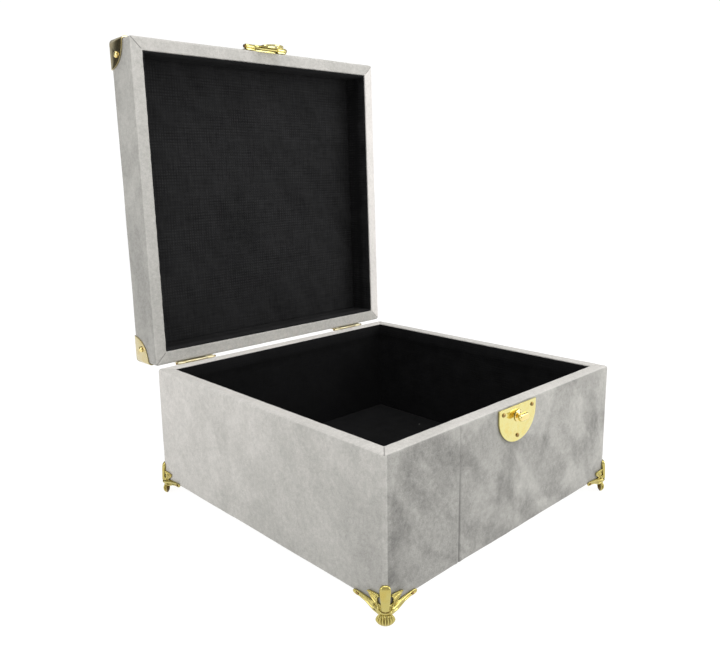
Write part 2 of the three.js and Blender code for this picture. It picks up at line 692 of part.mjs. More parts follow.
function addProtectors() {
  const inset = PROTECTOR.tackInset;
  const standOff = GAP + PROTECTOR.thick;
  for (const [endName, sideY] of [["front", -1], ["rear", 1]]) {
    for (const [sideName, sideX] of [["left", -1], ["right", 1]]) {
      const corner = `${endName}_${sideName}`;
      const name = `lid_corner_${corner}`;
      put(lid, name, protectorBody(sideX, sideY), MATERIALS.gilt);
      const x = (sideX * WIDTH) / 2;
      const y = LID_MIDDLE + (sideY * DEPTH) / 2;
      const inX = x - sideX * inset;
      const inY = y - sideY * inset;
      const tackZ = LID_CROWN - inset;
      const tacks = [
        ["top", "top", new THREE.Vector3(inX, inY, LID_CROWN), UPWARD],
        ["side", sideName, new THREE.Vector3(x, inY, tackZ), new THREE.Vector3(sideX, 0, 0)],
        ["end", endName, new THREE.Vector3(inX, y, tackZ), new THREE.Vector3(0, sideY, 0)],
      ];
      for (const [face, board, place, direction] of tacks) {
        const through = [name, "lid_velvet_cover", `lid_${board}_panel`];
        fasten(lid, `corner_tack_${corner}_${face}`, TACK, place, direction, standOff, through);
      }
    }
  }
}

function groupOf(parts) {
  const group = new THREE.Group();
  for (const [name, { body, material }] of Object.entries(parts)) {
    group.add(meshOf(name, body, material));
  }
  return group;
}

addBaseTray();
addLidTray();
addFeet();
addCatch();
addHinges();
addHaspPlate();
addProtectors();

const box = groupOf(base);
box.add(meshOf("turn_knob", turnKnob(), MATERIALS.gilt));

const openLid = groupOf(lid);
openLid.add(meshOf("hasp_flap", haspFlap(), MATERIALS.gilt));
openLid.position.set(0, AXIS_Y, AXIS_Z);
openLid.rotation.x = -OPEN;
box.add(openLid);

// The whole box slides along Y until the bounding box is centred on the origin.
box.updateMatrixWorld(true);
const extent = new THREE.Box3().setFromObject(box, true);
box.position.y = -(extent.min.y + extent.max.y) / 2;

const group = new THREE.Group();
group.add(box);

export default group;
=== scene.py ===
# The looks of the velvet jewellery box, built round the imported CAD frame. Metres, in the row frame.
# Lengths are written in millimetres times MM.

import json
import math

import bmesh
import bpy
import numpy as np
from mathutils import Matrix, Vector


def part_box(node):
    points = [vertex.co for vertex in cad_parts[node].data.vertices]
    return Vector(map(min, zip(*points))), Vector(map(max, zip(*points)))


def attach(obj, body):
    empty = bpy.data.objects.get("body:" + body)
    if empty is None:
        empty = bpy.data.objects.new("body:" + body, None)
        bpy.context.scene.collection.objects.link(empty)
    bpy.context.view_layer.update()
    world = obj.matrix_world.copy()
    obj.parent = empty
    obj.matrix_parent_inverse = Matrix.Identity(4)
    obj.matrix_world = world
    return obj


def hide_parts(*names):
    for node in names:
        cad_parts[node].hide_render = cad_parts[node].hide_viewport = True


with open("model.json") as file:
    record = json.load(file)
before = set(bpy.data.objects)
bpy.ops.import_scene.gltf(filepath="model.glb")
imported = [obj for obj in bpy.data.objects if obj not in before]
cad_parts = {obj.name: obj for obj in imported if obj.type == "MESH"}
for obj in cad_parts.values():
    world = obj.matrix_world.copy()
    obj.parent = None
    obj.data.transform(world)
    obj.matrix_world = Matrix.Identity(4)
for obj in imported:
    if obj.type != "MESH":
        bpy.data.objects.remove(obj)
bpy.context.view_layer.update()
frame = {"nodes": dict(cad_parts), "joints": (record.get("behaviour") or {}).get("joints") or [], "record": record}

# ---- dimensions

MM = 0.001
BASE_LOW, BASE_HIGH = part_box("base_velvet_cover")
HALF = BASE_HIGH.x
BASE_HEIGHT = BASE_HIGH.z - BASE_LOW.z
LID_HEIGHT = 38 * MM
RIM_GAP = 0.6 * MM
RIM_WIDTH = 12 * MM
BASE_FLOOR_TOP = 7.8 * MM
LID_FLOOR_TOP = 6.8 * MM

# The velvet: thickness, turned-down lip, and rounding.
COVER = 1.5 * MM
COVER_LIP = 12 * MM
CORNER = 3 * MM
MITRE = 1.0 * MM
EDGE = 2.2 * MM
LIP_EDGE = 0.8 * MM
SEAM_X = -70.5 * MM

# The linings: the gap behind them, thickness, distance under the rim, and hem.
GAP = 0.3 * MM
LINING = 1.2 * MM
LINING_SET_DOWN = 0.8 * MM
HEM = 13 * MM
PANEL_TUCK = 0.35 * MM

JOINTS = {joint["name"]: joint for joint in frame["joints"]}
LID_AXIS = Vector(JOINTS["lid_hinge"]["pos_m"])
OPEN = math.radians(JOINTS["lid_hinge"]["range_deg"][1])

# From a tray drawn mouth up round its own middle to its place in the row frame.
BASE_PLACE = Matrix.Translation((0, (BASE_LOW.y + BASE_HIGH.y) / 2, BASE_LOW.z))
LID_MIDDLE = (BASE_LOW.y + BASE_HIGH.y) / 2 - LID_AXIS.y
LID_CROWN = RIM_GAP / 2 + LID_HEIGHT
CLOSED_TO_OPEN = Matrix.Translation(LID_AXIS) @ Matrix.Rotation(-OPEN, 4, "X")
LID_PLACE = CLOSED_TO_OPEN @ Matrix.Translation((0, LID_MIDDLE, LID_CROWN)) @ Matrix.Rotation(math.pi, 4, "X")

# ---- material helpers


class Shader:
    """A node material, with short ways to add the nodes that the finishes here use."""

    def __init__(self, name):
        self.material = bpy.data.materials.new(name)
        self.material.use_nodes = True
        self.tree = self.material.node_tree
        self.surface = self.tree.nodes["Principled BSDF"]
        self.place = self.add("ShaderNodeTexCoord").outputs["Object"]

    def add(self, kind, **settings):
        node = self.tree.nodes.new(kind)
        for key, value in settings.items():
            setattr(node, key, value)
        return node

    def link(self, source, socket):
        if isinstance(source, bpy.types.NodeSocket):
            self.tree.links.new(source, socket)
        else:
            socket.default_value = source

    def math(self, operation, a, b=0.0, c=0.0):
        node = self.add("ShaderNodeMath", operation=operation)
        for source, socket in zip((a, b, c), node.inputs):
            self.link(source, socket)
        return node.outputs[0]

    def swing(self, value, amount):
        """A value of 0 to 1 made to swing by half the amount on either side of zero."""
        return self.math("MULTIPLY_ADD", value, amount, -amount / 2)

    def mean(self, a, b):
        return self.math("ADD", self.math("MULTIPLY", a, 0.5), self.math("MULTIPLY", b, 0.5))

    def attribute(self, name):
        return self.add("ShaderNodeAttribute", attribute_name=name).outputs["Fac"]

    def moved(self, scale, turn=(0, 0, 0)):
        """The object's places, turned by degrees and then scaled, so that noise on them is drawn out."""
        turned = self.add("ShaderNodeMapping")
        self.link(self.place, turned.inputs["Vector"])
        turned.inputs["Rotation"].default_value = [math.radians(angle) for angle in turn]
        scaled = self.add("ShaderNodeMapping")
        self.link(turned.outputs[0], scaled.inputs["Vector"])
        scaled.inputs["Scale"].default_value = scale
        return scaled.outputs[0]

    def noise(self, scale, detail, roughness, distortion=0.0, vector=None):
        node = self.add("ShaderNodeTexNoise")
        self.link(vector or self.place, node.inputs["Vector"])
        settings = {"Scale": scale, "Detail": detail, "Roughness": roughness, "Distortion": distortion}
        for name, value in settings.items():
            node.inputs[name].default_value = value
        return node.outputs["Fac"]

    def spread(self, value, low, high, out_low=0.0, out_high=1.0):
        node = self.add("ShaderNodeMapRange", interpolation_type="SMOOTHSTEP")
        for source, socket in zip((value, low, high, out_low, out_high), node.inputs):
            self.link(source, socket)
        return node.outputs[0]

    def ramp(self, value, stops):
        node = self.add("ShaderNodeValToRGB")
        self.link(value, node.inputs["Fac"])
        elements = node.color_ramp.elements
        while len(elements) < len(stops):
            elements.new(0.5)
        for element, (position, colour) in zip(elements, stops):
            element.position = position
            element.color = (*colour, 1)
        return node.outputs["Color"]

    def mix(self, amount, a, b):
        node = self.add("ShaderNodeMix", data_type="RGBA", blend_type="MIX")
        self.link(amount, node.inputs["Factor"])
        for source, socket in zip((a, b), (node.inputs[6], node.inputs[7])):
            self.link(source if isinstance(source, bpy.types.NodeSocket) else (*source, 1), socket)
        return node.outputs[2]

    def bump(self, height, distance, strength):
        node = self.add("ShaderNodeBump")
        self.link(height, node.inputs["Height"])
        node.inputs["Distance"].default_value = distance
        node.inputs["Strength"].default_value = strength
        self.link(node.outputs[0], self.surface.inputs["Normal"])

    def set(self, **values):
        for name, value in values.items():
            self.link(value, self.surface.inputs[name.replace("_", " ").title().replace("Ior", "IOR")])


# ---- finishes

# A noise scale is in cells per metre. Drawn-out noise has one per axis, and may have a slant in degrees.
VELVET_TONES = [(0.0, (0.098, 0.0965, 0.091)), (0.5, (0.423, 0.415, 0.388)), (1.0, (0.82, 0.785, 0.75))]
# The colour of the painted shade in the velvet's creases.
VELVET_CREASE_SHADE = (0.13, 0.125, 0.12)
VELVET_SHEEN = (0.95, 0.93, 0.9, 1)
BROAD_STROKES = (34, 34, 11), (12, 40, 0)
THIN_STROKES = (120, 120, 34), (6, 30, 0)
PATCH_SCALE = 10
CLOUD_SCALE = 75
TUFT_SCALE = 330
PILE_SCALE = 1250
PILE_DEPTH = 0.7 * MM

SLUBS = (70, 70, 900)
CROSS_SLUBS = (900, 70, 70)
LINING_STROKES = (55, 55, 12), (10, 35, 0)
WEAR_SCALE = 9
WEAVE_DEPTH = 0.25 * MM
LINT_COLOUR = (0.4, 0.4, 0.38)
LINT_SCALE = 62

# The warm colour, and the colour of hollows that are both tarnished and in painted shade, are shares of the gilt's
# own.
GILT = (0.86, 0.72, 0.32)
GILT_WARM = (1.0, 0.93, 0.78)
GILT_TARNISHED_SHADED = (0.62, 0.52, 0.36)
BLOTCH_SCALE = 160
FINE_SCALE = 900
SCRATCHES = (2400, 160, 160), (0, 20, 35)
CASTING_DEPTH = 0.12 * MM

BOARD_TONES = [(0.3, (0.40, 0.27, 0.15)), (0.7, (0.68, 0.52, 0.33))]
BOARD_RINGS = (14, 90, 90)
BOARD_FIBRES = (60, 900, 900)
GRAIN_DEPTH = 0.15 * MM


def velvet_material():
    """Short-pile velvet. The pieces carry its painted light and shade as a tone, how blotchy its nap is, and the
    painted shade in its creases.
    """
    shader = Shader("velvet")
    strokes = shader.noise(1, 3, 0.5, 0.6, shader.moved(*BROAD_STROKES))
    patches = shader.noise(PATCH_SCALE, 3, 0.5, 1.4)
    thin_strokes = shader.noise(1, 4, 0.6, 0.5, shader.moved(*THIN_STROKES))
    cloud = shader.noise(CLOUD_SCALE, 4, 0.6)
    tufts = shader.noise(TUFT_SCALE, 3, 0.6)
    pile = shader.noise(PILE_SCALE, 2, 0.75)
    brushed = shader.math("MULTIPLY", shader.spread(strokes, 0.40, 0.58, -0.6, 0.4), 0.15)
    worn = shader.math("MULTIPLY", shader.spread(patches, 0.40, 0.60, -0.6, 0.4), 0.13)
    nap = shader.math("ADD", brushed, worn)
    nap = shader.math("ADD", nap, shader.swing(thin_strokes, 0.24))
    nap = shader.math("ADD", nap, shader.swing(cloud, 0.20))
    nap = shader.math("MULTIPLY", nap, shader.attribute("mottle"))
    small = shader.math("ADD", shader.swing(tufts, 0.30), shader.swing(pile, 0.36))
    # The tone attribute is painted light and shade; the random nap is added to it.
    lit_tone = shader.math("ADD", shader.math("ADD", shader.attribute("lit_tone"), nap), small)
    colour = shader.ramp(lit_tone, VELVET_TONES)
    # Painted shade in the creases: the mitre folds on the rim and the front's seam.
    crease_shaded = shader.math("MULTIPLY", shader.attribute("crease_shade"), 0.8)
    colour = shader.mix(crease_shaded, colour, VELVET_CREASE_SHADE)
    shader.set(base_color=colour, roughness=0.92, specular_ior_level=0.12)
    shader.set(sheen_weight=0.28, sheen_roughness=0.45, sheen_tint=VELVET_SHEEN)
    shader.bump(shader.mean(pile, tufts), PILE_DEPTH, 0.6)
    return shader.material


def weave_height(shader, pitch):
    """A plain weave whatever way the cloth faces, from three pairs of crossing waves."""
    parts = shader.add("ShaderNodeSeparateXYZ")
    shader.link(shader.place, parts.inputs[0])
    waves = [shader.math("SINE", shader.math("MULTIPLY", axis, math.pi / pitch)) for axis in parts.outputs]
    pairs = [shader.math("MULTIPLY", waves[a], waves[b]) for a, b in ((0, 1), (1, 2), (2, 0))]
    return shader.math("ADD", shader.math("ADD", pairs[0], pairs[1]), pairs[2])


def lining_material(name, low, high, pitch):
    """Dark plain-woven cloth with slubs. The walls carry how shaded they are, and the floors how much lint
    lies on them."""
    shader = Shader(name)
    weave = weave_height(shader, pitch)
    slub = shader.noise(1, 3, 0.6, 0, shader.moved(SLUBS))
    cross = shader.noise(1, 3, 0.6, 0, shader.moved(CROSS_SLUBS))
    threads = shader.mean(slub, cross)
    shade = shader.math("MULTIPLY_ADD", weave, 0.07, threads)
    strokes = shader.noise(1, 3, 0.5, 0.4, shader.moved(*LINING_STROKES))
    wear = shader.noise(WEAR_SCALE, 3, 0.5)
    brushed = shader.math("SUBTRACT", shader.math("ADD", strokes, wear), 1.0)
    shade = shader.math("MULTIPLY_ADD", brushed, 0.32, shade)
    shade = shader.math("SUBTRACT", shade, shader.attribute("shaded"))
    colour = shader.ramp(shade, [(0.25, low), (0.75, high)])
    cells = shader.add("ShaderNodeTexVoronoi", feature="F1")
    shader.link(shader.place, cells.inputs["Vector"])
    cells.inputs["Scale"].default_value = LINT_SCALE
    speck = shader.spread(cells.outputs["Distance"], 0.03, 0.055, 1, 0)
    speck = shader.math("MULTIPLY", speck, shader.attribute("lint"))
    colour = shader.mix(speck, colour, LINT_COLOUR)
    shader.set(base_color=colour, roughness=0.85, specular_ior_level=0.06)
    shader.set(sheen_weight=0.02, sheen_roughness=0.5)
    shader.bump(shader.math("MULTIPLY_ADD", weave, 0.4, threads), WEAVE_DEPTH, 0.6)
    return shader.material


def gilt_material(name, colour=GILT, roughness=0.15, casting=0.25, dull=0.35, deep=GILT_TARNISHED_SHADED):
    """Gilt metal: bright where it is proud, darker in its hollows from a little tarnish and painted shade, with
    fine handling marks.
    """
    shader = Shader(name)
    pointiness = shader.add("ShaderNodeNewGeometry").outputs["Pointiness"]
    # Hollows found from the mesh, and an attribute of painted shade, darken the gilt: partly tarnish, partly
    # painted shade.
    hollow = shader.spread(pointiness, 0.40, 0.50, 1, 0)
    hollow = shader.math("MAXIMUM", hollow, shader.attribute("painted_shade"))
    blotch = shader.noise(BLOTCH_SCALE, 4, 0.6)
    fine = shader.noise(FINE_SCALE, 2, 0.6)
    scratch = shader.noise(1, 2, 0.6, 0, shader.moved(*SCRATCHES))
    tarnished_shaded = tuple(part * share for part, share in zip(colour, deep))
    warm = tuple(part * share for part, share in zip(colour, GILT_WARM))
    tinted = shader.mix(shader.spread(blotch, 0.4, 0.7), colour, warm)
    tinted = shader.mix(shader.math("MULTIPLY", hollow, dull), tinted, tarnished_shaded)
    rough = shader.math("MULTIPLY_ADD", blotch, 0.14, roughness - 0.07)
    rough = shader.math("MULTIPLY_ADD", scratch, 0.05, rough)
    rough = shader.math("MULTIPLY_ADD", hollow, 0.15, rough)
    shader.set(base_color=tinted, metallic=1.0, roughness=rough)
    height = shader.math("ADD", shader.math("MULTIPLY", fine, 0.4), blotch)
    shader.bump(height, CASTING_DEPTH, casting)
    return shader.material


def board_material():
    """Pale board with a straight grain, hidden under the cloth."""
    shader = Shader("board")
    rings = shader.noise(1, 5, 0.6, 0.6, shader.moved(BOARD_RINGS))
    fibre = shader.noise(1, 3, 0.7, 0, shader.moved(BOARD_FIBRES))
    shade = shader.math("MULTIPLY_ADD", fibre, 0.35, shader.math("MULTIPLY", rings, 0.65))
    shader.set(base_color=shader.ramp(shade, BOARD_TONES), roughness=0.78)
    shader.bump(fibre, GRAIN_DEPTH, 0.4)
    return shader.material


MATERIALS = {
    "velvet": velvet_material(),
    "base_lining": lining_material(
        "base_lining", low=(0.0031, 0.0031, 0.0033), high=(0.0098, 0.0098, 0.0103), pitch=1.2 * MM),
    "lid_lining": lining_material(
        "lid_lining", low=(0.0062, 0.0062, 0.0065), high=(0.0250, 0.0250, 0.0257), pitch=1.4 * MM),
    "board": board_material(),
    # The feet's gilt is darker than the rest and darkens fully in its hollows: painted shade and painted dark
    # reflections.
    "foot_gilt": gilt_material(
        "foot_gilt", (0.53, 0.46, 0.16), roughness=0.22, casting=0.35, dull=1.0, deep=(0.26, 0.18, 0.09)),
    # The lid corners' gilt is darker: painted shade for the dim surroundings they reflect.
    "corner_gilt": gilt_material("corner_gilt", (0.62, 0.54, 0.31), casting=0.15),
    "tack_gilt": gilt_material("tack_gilt", roughness=0.12),
    "hinge_gilt": gilt_material("hinge_gilt", (0.66, 0.61, 0.42), roughness=0.36, casting=0.15),
    "catch_gilt": gilt_material("catch_gilt", (0.77, 0.70, 0.30), roughness=0.12, casting=0.12),
    "knob_gilt": gilt_material("knob_gilt", roughness=0.1),
    "pin_gilt": gilt_material("pin_gilt", (0.33, 0.22, 0.08), roughness=0.28),
}

# ---- mesh helpers

RIPPLE_TERMS = 9
RIPPLE_SPREAD = (0.6, 1.5)
# Vertices nearer than this are joined, and shorter edges are dissolved.
WELD = 1e-6
TINY_EDGE = 1e-7
# Edges sharper than this many degrees stay crisp.
CRISP = {"velvet": 75, "lining": 60, "turned": 50, "pressed": 35, "cast": 75}


def ripple(points, wavelength, seed):
    """A smooth seeded wave field over points, mostly between -1 and 1."""
    draws = np.random.default_rng(seed)
    directions = draws.normal(size=(RIPPLE_TERMS, 3))
    directions /= np.linalg.norm(directions, axis=1)[:, None]
    numbers = 2 * math.pi / wavelength * draws.uniform(*RIPPLE_SPREAD, RIPPLE_TERMS)
    phases = draws.uniform(0, 2 * math.pi, RIPPLE_TERMS)
    terms = np.sin(points @ (directions * numbers[:, None]).T + phases)
    return terms.sum(1) / math.sqrt(RIPPLE_TERMS)


def ripples(points, pairs, seed):
    """Ripples added up, from pairs of a height and a wavelength in millimetres. The sum is in millimetres."""
    total = np.zeros(len(points))
    for index, (height, wavelength) in enumerate(pairs):
        total += height * ripple(points, wavelength * MM, seed + index)
    return total


def vertex_array(mesh, what="co"):
    values = np.zeros(len(mesh.vertices) * 3)
    if what == "co":
        mesh.vertices.foreach_get("co", values)
    else:
        mesh.vertex_normals.foreach_get("vector", values)
    return values.reshape(-1, 3)


def attribute_array(mesh, name):
    values = np.zeros(len(mesh.vertices))
    mesh.attributes[name].data.foreach_get("value", values)
    return values


def set_attribute(mesh, name, values):
    mesh.attributes.new(name, "FLOAT", "POINT").data.foreach_set("value", values.astype(np.float32))


def mesh_from(made, name):
    """The mesh of a finished bmesh, with its faces turned outwards. The bmesh is freed."""
    bmesh.ops.recalc_face_normals(made, faces=made.faces)
    mesh = bpy.data.meshes.new(name)
    made.to_mesh(mesh)
    made.free()
    return mesh


def fill_grid(made, verts, count):
    """Faces between the vertices of a square grid, which are given row by row."""
    for row in range(count - 1):
        for k in range(row * count, (row + 1) * count - 1):
            made.faces.new((verts[k], verts[k + count], verts[k + count + 1], verts[k + 1]))


def smooth(mesh, angle):
    """Smooth shading, with edges sharper than the angle kept crisp."""
    made = bmesh.new()
    made.from_mesh(mesh)
    limit = math.radians(angle)
    for face in made.faces:
        face.smooth = True
    for edge in made.edges:
        edge.smooth = len(edge.link_faces) == 2 and edge.calc_face_angle(0) < limit
    made.to_mesh(mesh)
    made.free()


def add_object(name, data):
    made = bpy.data.objects.new(name, data)
    bpy.context.scene.collection.objects.link(made)
    return made


def piece(name, mesh, body, slot, nodes, angle):
    """A finished piece: its material, the body that it rides on, and the CAD nodes that it stands for."""
    smooth(mesh, angle)
    made = add_object(name, mesh)
    mesh.materials.clear()
    mesh.materials.append(MATERIALS[slot])
    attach(made, body)
    if nodes:
        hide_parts(*nodes)


# ---- cloth swept round the tray

CORNER_STEPS = 6
SIDE_STEPS = 96
# Columns nearer than this to a side's middle stay where they are in every loop.
KEPT = 130 * MM
SEAM_COLUMNS = np.array([-4, -2.2, -1.1, -0.5, 0, 0.5, 1.1, 2.2, 4]) * MM
SEAM_CLEARANCE = 0.9 * MM
# The regions of a section: underneath, wall, flat rim, turned-down lip, and out of sight inside.
CAP, WALL, RIM, LIP, INSIDE = 0, 1, 2, 3, 4


def side_columns():
    """Places along a side, evenly spread, with closer ones at the seam."""
    end = HALF - CORNER
    even = np.linspace(-end, end, SIDE_STEPS + 1)
    near_seam = SEAM_X + SEAM_COLUMNS
    clear = np.abs(even[:, None] - near_seam[None, :]).min(1) > SEAM_CLEARANCE
    return np.sort(np.concatenate([even[clear], near_seam]))


COLUMNS = side_columns()


def on_side(columns, span):
    """The columns moved for a loop whose straight part reaches to span. The middle ones stay."""
    end = HALF - CORNER
    beyond = KEPT + (np.abs(columns) - KEPT) * (span - KEPT) / (end - KEPT)
    return np.where(np.abs(columns) <= KEPT, columns, np.sign(columns) * beyond)


def square_loop(inset, radius):
    """Points anticlockwise round the tray at an inset, as (x, y, side, fold). The fold is 1 on a corner's
    diagonal and falls to 0 beside it."""
    reach = HALF - inset
    span = reach - radius
    along = on_side(COLUMNS, span)
    loop = []
    for side in range(4):
        turn = side * math.pi / 2
        cos, sin = round(math.cos(turn)), round(math.sin(turn))
        run = along if side < 2 else -along[::-1]
        points = [(x, -reach, side, 0.0) for x in run]
        for step in range(1, CORNER_STEPS):
            angle = -math.pi / 2 + step / CORNER_STEPS * math.pi / 2
            fold = 1 - abs(2 * step / CORNER_STEPS - 1)
            x, y = span + radius * math.cos(angle), -span + radius * math.sin(angle)
            points.append((x, y, side + 0.5, fold))
        loop += [(x * cos - y * sin, x * sin + y * cos, side_at, fold) for x, y, side_at, fold in points]
    return loop


def sweep(rows, closed):
    """A bmesh swept round the square from rows of (inset, z, region), with its grid of vertices. Its layers
    hold each vertex's side, region and fold."""
    made = bmesh.new()
    layers = {name: made.verts.layers.float.new(name) for name in ("side", "region", "fold")}
    grid = []
    for inset, z, region in rows:
        radius = 0.0 if region == CAP else max(CORNER - inset, MITRE)
        ring = []
        for x, y, side, fold in square_loop(inset, radius):
            vert = made.verts.new((x, y, z))
            vert[layers["side"]] = side
            vert[layers["region"]] = region
            vert[layers["fold"]] = fold
            ring.append(vert)
        grid.append(ring)
    pairs = list(zip(grid, grid[1:]))
    if closed:
        pairs.append((grid[-1], grid[0]))
    for low, high in pairs:
        for a, b, c, d in zip(low, low[1:] + low[:1], high[1:] + high[:1], high):
            made.faces.new((a, b, c, d))
    return made, layers, grid


def grid_cap(made, layers, inset, z):
    """Closes a swept mesh with a grid whose edge is the loop at that inset."""
    along = on_side(COLUMNS, HALF - inset)
    verts = []
    for y in along:
        for x in along:
            vert = made.verts.new((x, y, z))
            vert[layers["region"]] = CAP
            verts.append(vert)
    fill_grid(made, verts, len(along))
    bmesh.ops.remove_doubles(made, verts=made.verts, dist=WELD)
    bmesh.ops.dissolve_degenerate(made, dist=TINY_EDGE, edges=made.edges)


def arc(steps):
    return [(math.sin(a), math.cos(a)) for a in np.linspace(0, math.pi / 2, steps + 1)]


CAP_INSET = 8 * MM
UNDER_INSET = 5 * MM
EDGE_STEPS = 5
LIP_STEPS = 3
RIM_STEPS = 9
WALL_STEP = 3.2 * MM
LEAST_ROWS = 8
# The sine at which the rounded top edge starts to count as rim.
RIM_FROM = 0.7
LIP_SHARES = (0.3, 0.65, 1)

# Waves in the velvet: heights and wavelengths in millimetres, and how deep the cloth is sunk for them.
WALL_WAVES = ((0.10, 90), (0.05, 22))
WALL_SUNK = 0.10
RIM_WAVES = ((0.04, 16),)
RIM_SUNK = 0.06
MITRE_DEPTH = 0.45
LIP_WAVES = ((0.07, 12), (0.08, 6.8))
LIP_WAVE_LIMIT = 0.25 * MM
LIP_RAGGED = 3 * MM
# The front's seam in millimetres: a pressed-in line between two swellings, fainter towards the top.
SEAM = {"half": 0.9, "depth": 0.55, "swell_at": 2.2, "swell_half": 1.6, "swell": 0.16, "reach": 6}
SEAM_FAINTEST = 0.35
SEAM_FAINT_FROM = 0.75
SEAM_FADE = 0.35


def cover_rows(height):
    """The cloth's section: from under the box, up its wall, over the rim, down the lip and back inside."""
    rows = [(CAP_INSET, 0, CAP), (UNDER_INSET, 0, WALL)]
    rows += [(EDGE * (1 - s), EDGE * (1 - c), WALL) for s, c in arc(EDGE_STEPS)]
    count = max(LEAST_ROWS, round((height - 2 * EDGE) / WALL_STEP))
    rows += [(0, z, WALL) for z in np.linspace(EDGE, height - EDGE, count + 1)[1:-1]]
    for s, c in arc(EDGE_STEPS):
        rows.append((EDGE * (1 - c), height - EDGE + EDGE * s, WALL if s < RIM_FROM else RIM))
    rows += [(d, height, RIM) for d in np.linspace(EDGE, RIM_WIDTH - LIP_EDGE, RIM_STEPS)[1:-1]]
    rows += [(RIM_WIDTH - LIP_EDGE * (1 - s), height - LIP_EDGE * (1 - c), LIP) for s, c in arc(LIP_STEPS)]
    rows += [(RIM_WIDTH, height - COVER_LIP * share, LIP) for share in LIP_SHARES]
    inner = RIM_WIDTH - COVER
    rows += [(inner, height - COVER_LIP, INSIDE), (inner, height - COVER, INSIDE)]
    rows += [(COVER, height - COVER, INSIDE), (COVER, COVER, INSIDE)]
    return rows


def seam_form(points, side, wall, height):
    """The front's seam: how much each vertex rises, in millimetres, and how much painted shade its crease gets."""
    away = np.abs(points[:, 0] - SEAM_X) / MM
    on_front = (side == 0) & wall & (points[:, 1] < -HALF + SEAM["reach"] * MM)
    hollow = np.exp(-((away / SEAM["half"]) ** 2))
    swell = np.exp(-(((away - SEAM["swell_at"]) / SEAM["swell_half"]) ** 2))
    clear = np.clip((SEAM_FAINT_FROM - points[:, 2] / height) / SEAM_FADE, 0, 1)
    faint = SEAM_FAINTEST + (1 - SEAM_FAINTEST) * clear
    rise = (-SEAM["depth"] * hollow + SEAM["swell"] * swell) * faint
    return np.where(on_front, rise, 0), np.where(on_front, hollow * faint, 0)


def make_lip_ragged(points, region, height, seed):
    """Moves the upper part of the lip a little towards the tray's middle or away from it."""
    ragged = (region == LIP) & (points[:, 2] > height - LIP_RAGGED)
    inward_x = np.abs(points[:, 0]) > np.abs(points[:, 1])
    push = ripples(points, LIP_WAVES, seed) * MM
    push = np.clip(push, -LIP_WAVE_LIMIT, LIP_WAVE_LIMIT) * ragged
    points[:, 0] -= np.where(inward_x, np.sign(points[:, 0]) * push, 0)
    points[:, 1] -= np.where(~inward_x, np.sign(points[:, 1]) * push, 0)


def cover_mesh(name, height, seam, lit_tone_of, seed):
    """A tray's velvet, drawn mouth up. Its tone function gives the pile's painted light and shade as a tone, and
    its blotchiness, from place, side and region."""
    made, layers, grid = sweep(cover_rows(height), closed=False)
    made.faces.new(grid[-1])
    grid_cap(made, layers, CAP_INSET, 0)
    mesh = mesh_from(made, name)
    points, normals = vertex_array(mesh), vertex_array(mesh, "normal")
    side, region, fold = (attribute_array(mesh, key) for key in ("side", "region", "fold"))
    wall = (region == WALL) | (region == CAP)
    wall_rise = ripples(points, WALL_WAVES, seed) - WALL_SUNK
    rim_rise = ripples(points, RIM_WAVES, seed + len(WALL_WAVES)) - RIM_SUNK
    # Painted shade along the mitre folds on the rim, and in the seam's crease, on top of the sunk groove.
    crease_shade = np.where((region == RIM) & (fold > 0), fold ** 2, 0)
    rise = np.where(wall, wall_rise, rim_rise) - MITRE_DEPTH * crease_shade
    if seam:
        seam_rise, seam_crease_shade = seam_form(points, side, wall, height)
        rise = rise + seam_rise
        crease_shade = np.maximum(crease_shade, seam_crease_shade)
    outside = region < INSIDE
    points = points + normals * (rise * outside * MM)[:, None]
    make_lip_ragged(points, region, height, seed + len(WALL_WAVES) + len(RIM_WAVES))
    mesh.vertices.foreach_set("co", points.ravel())
    lit_tone, mottle = lit_tone_of(points, side, region)
    for key, values in (("lit_tone", lit_tone), ("mottle", mottle), ("crease_shade", crease_shade)):
        set_attribute(mesh, key, values)
    mesh.update()
    return mesh


# The pile's painted light and shade as a tone, and its blotchiness, with values per side for front, right, rear
# and left.
BASE_PILE_LIGHT_AND_MOTTLE = {"wall": (0.365, 0.50, 0.52, 0.575), "rim": (0.66, 0.66, 0.76, 0.66), "under": 0.45,
             "wall_mottle": (0.85, 0.8, 0.8, 0.38), "rim_mottle": 0.25}
LID_PILE_LIGHT_AND_MOTTLE = {"wall": (0.55, 0.52, 0.55, 0.40), "rim": (0.57, 0.86, 0.57, 0.56), "under": 0.55,
            "wall_mottle": (0.7, 0.7, 0.7, 0.5), "rim_mottle": 0.3}
FRONT_LEFT_SHARE = 0.3
CORNER_SHADE = 0.09
CORNER_SHADE_WIDTH = 9 * MM
# Painted light that grows along and up the base's front and left walls.
FRONT_LIGHT_DRIFT = {"along": 0.02, "up": 0.03}
LEFT_LIGHT_DRIFT = {"along": 0.11, "up": 0.10}


def by_side(side, values):
    """Values per side, as a curve round the tray. A corner is halfway between its sides, but the front left
    one is nearer to the left, so that the front's edge is crisp."""
    front, right, rear, left = values
    turned = left + (front - left) * FRONT_LEFT_SHARE
    around = [front, (front + right) / 2, right, (right + rear) / 2, rear, (rear + left) / 2, left, turned]
    return np.interp(side, np.arange(8) / 2, around)


def pile_lit_tone(pile, side, region, light_drift=0):
    """Painted light and shade as a tone, and blotchiness, from a tray's values, with painted light drifting along
    its walls.
    """
    lit_tone = by_side(side, pile["wall"]) + light_drift
    lit_tone = np.where(region >= RIM, by_side(side, pile["rim"]), lit_tone)
    lit_tone = np.where(region == CAP, pile["under"], lit_tone)
    mottle = np.where(region >= RIM, pile["rim_mottle"], by_side(side, pile["wall_mottle"]))
    return lit_tone, mottle


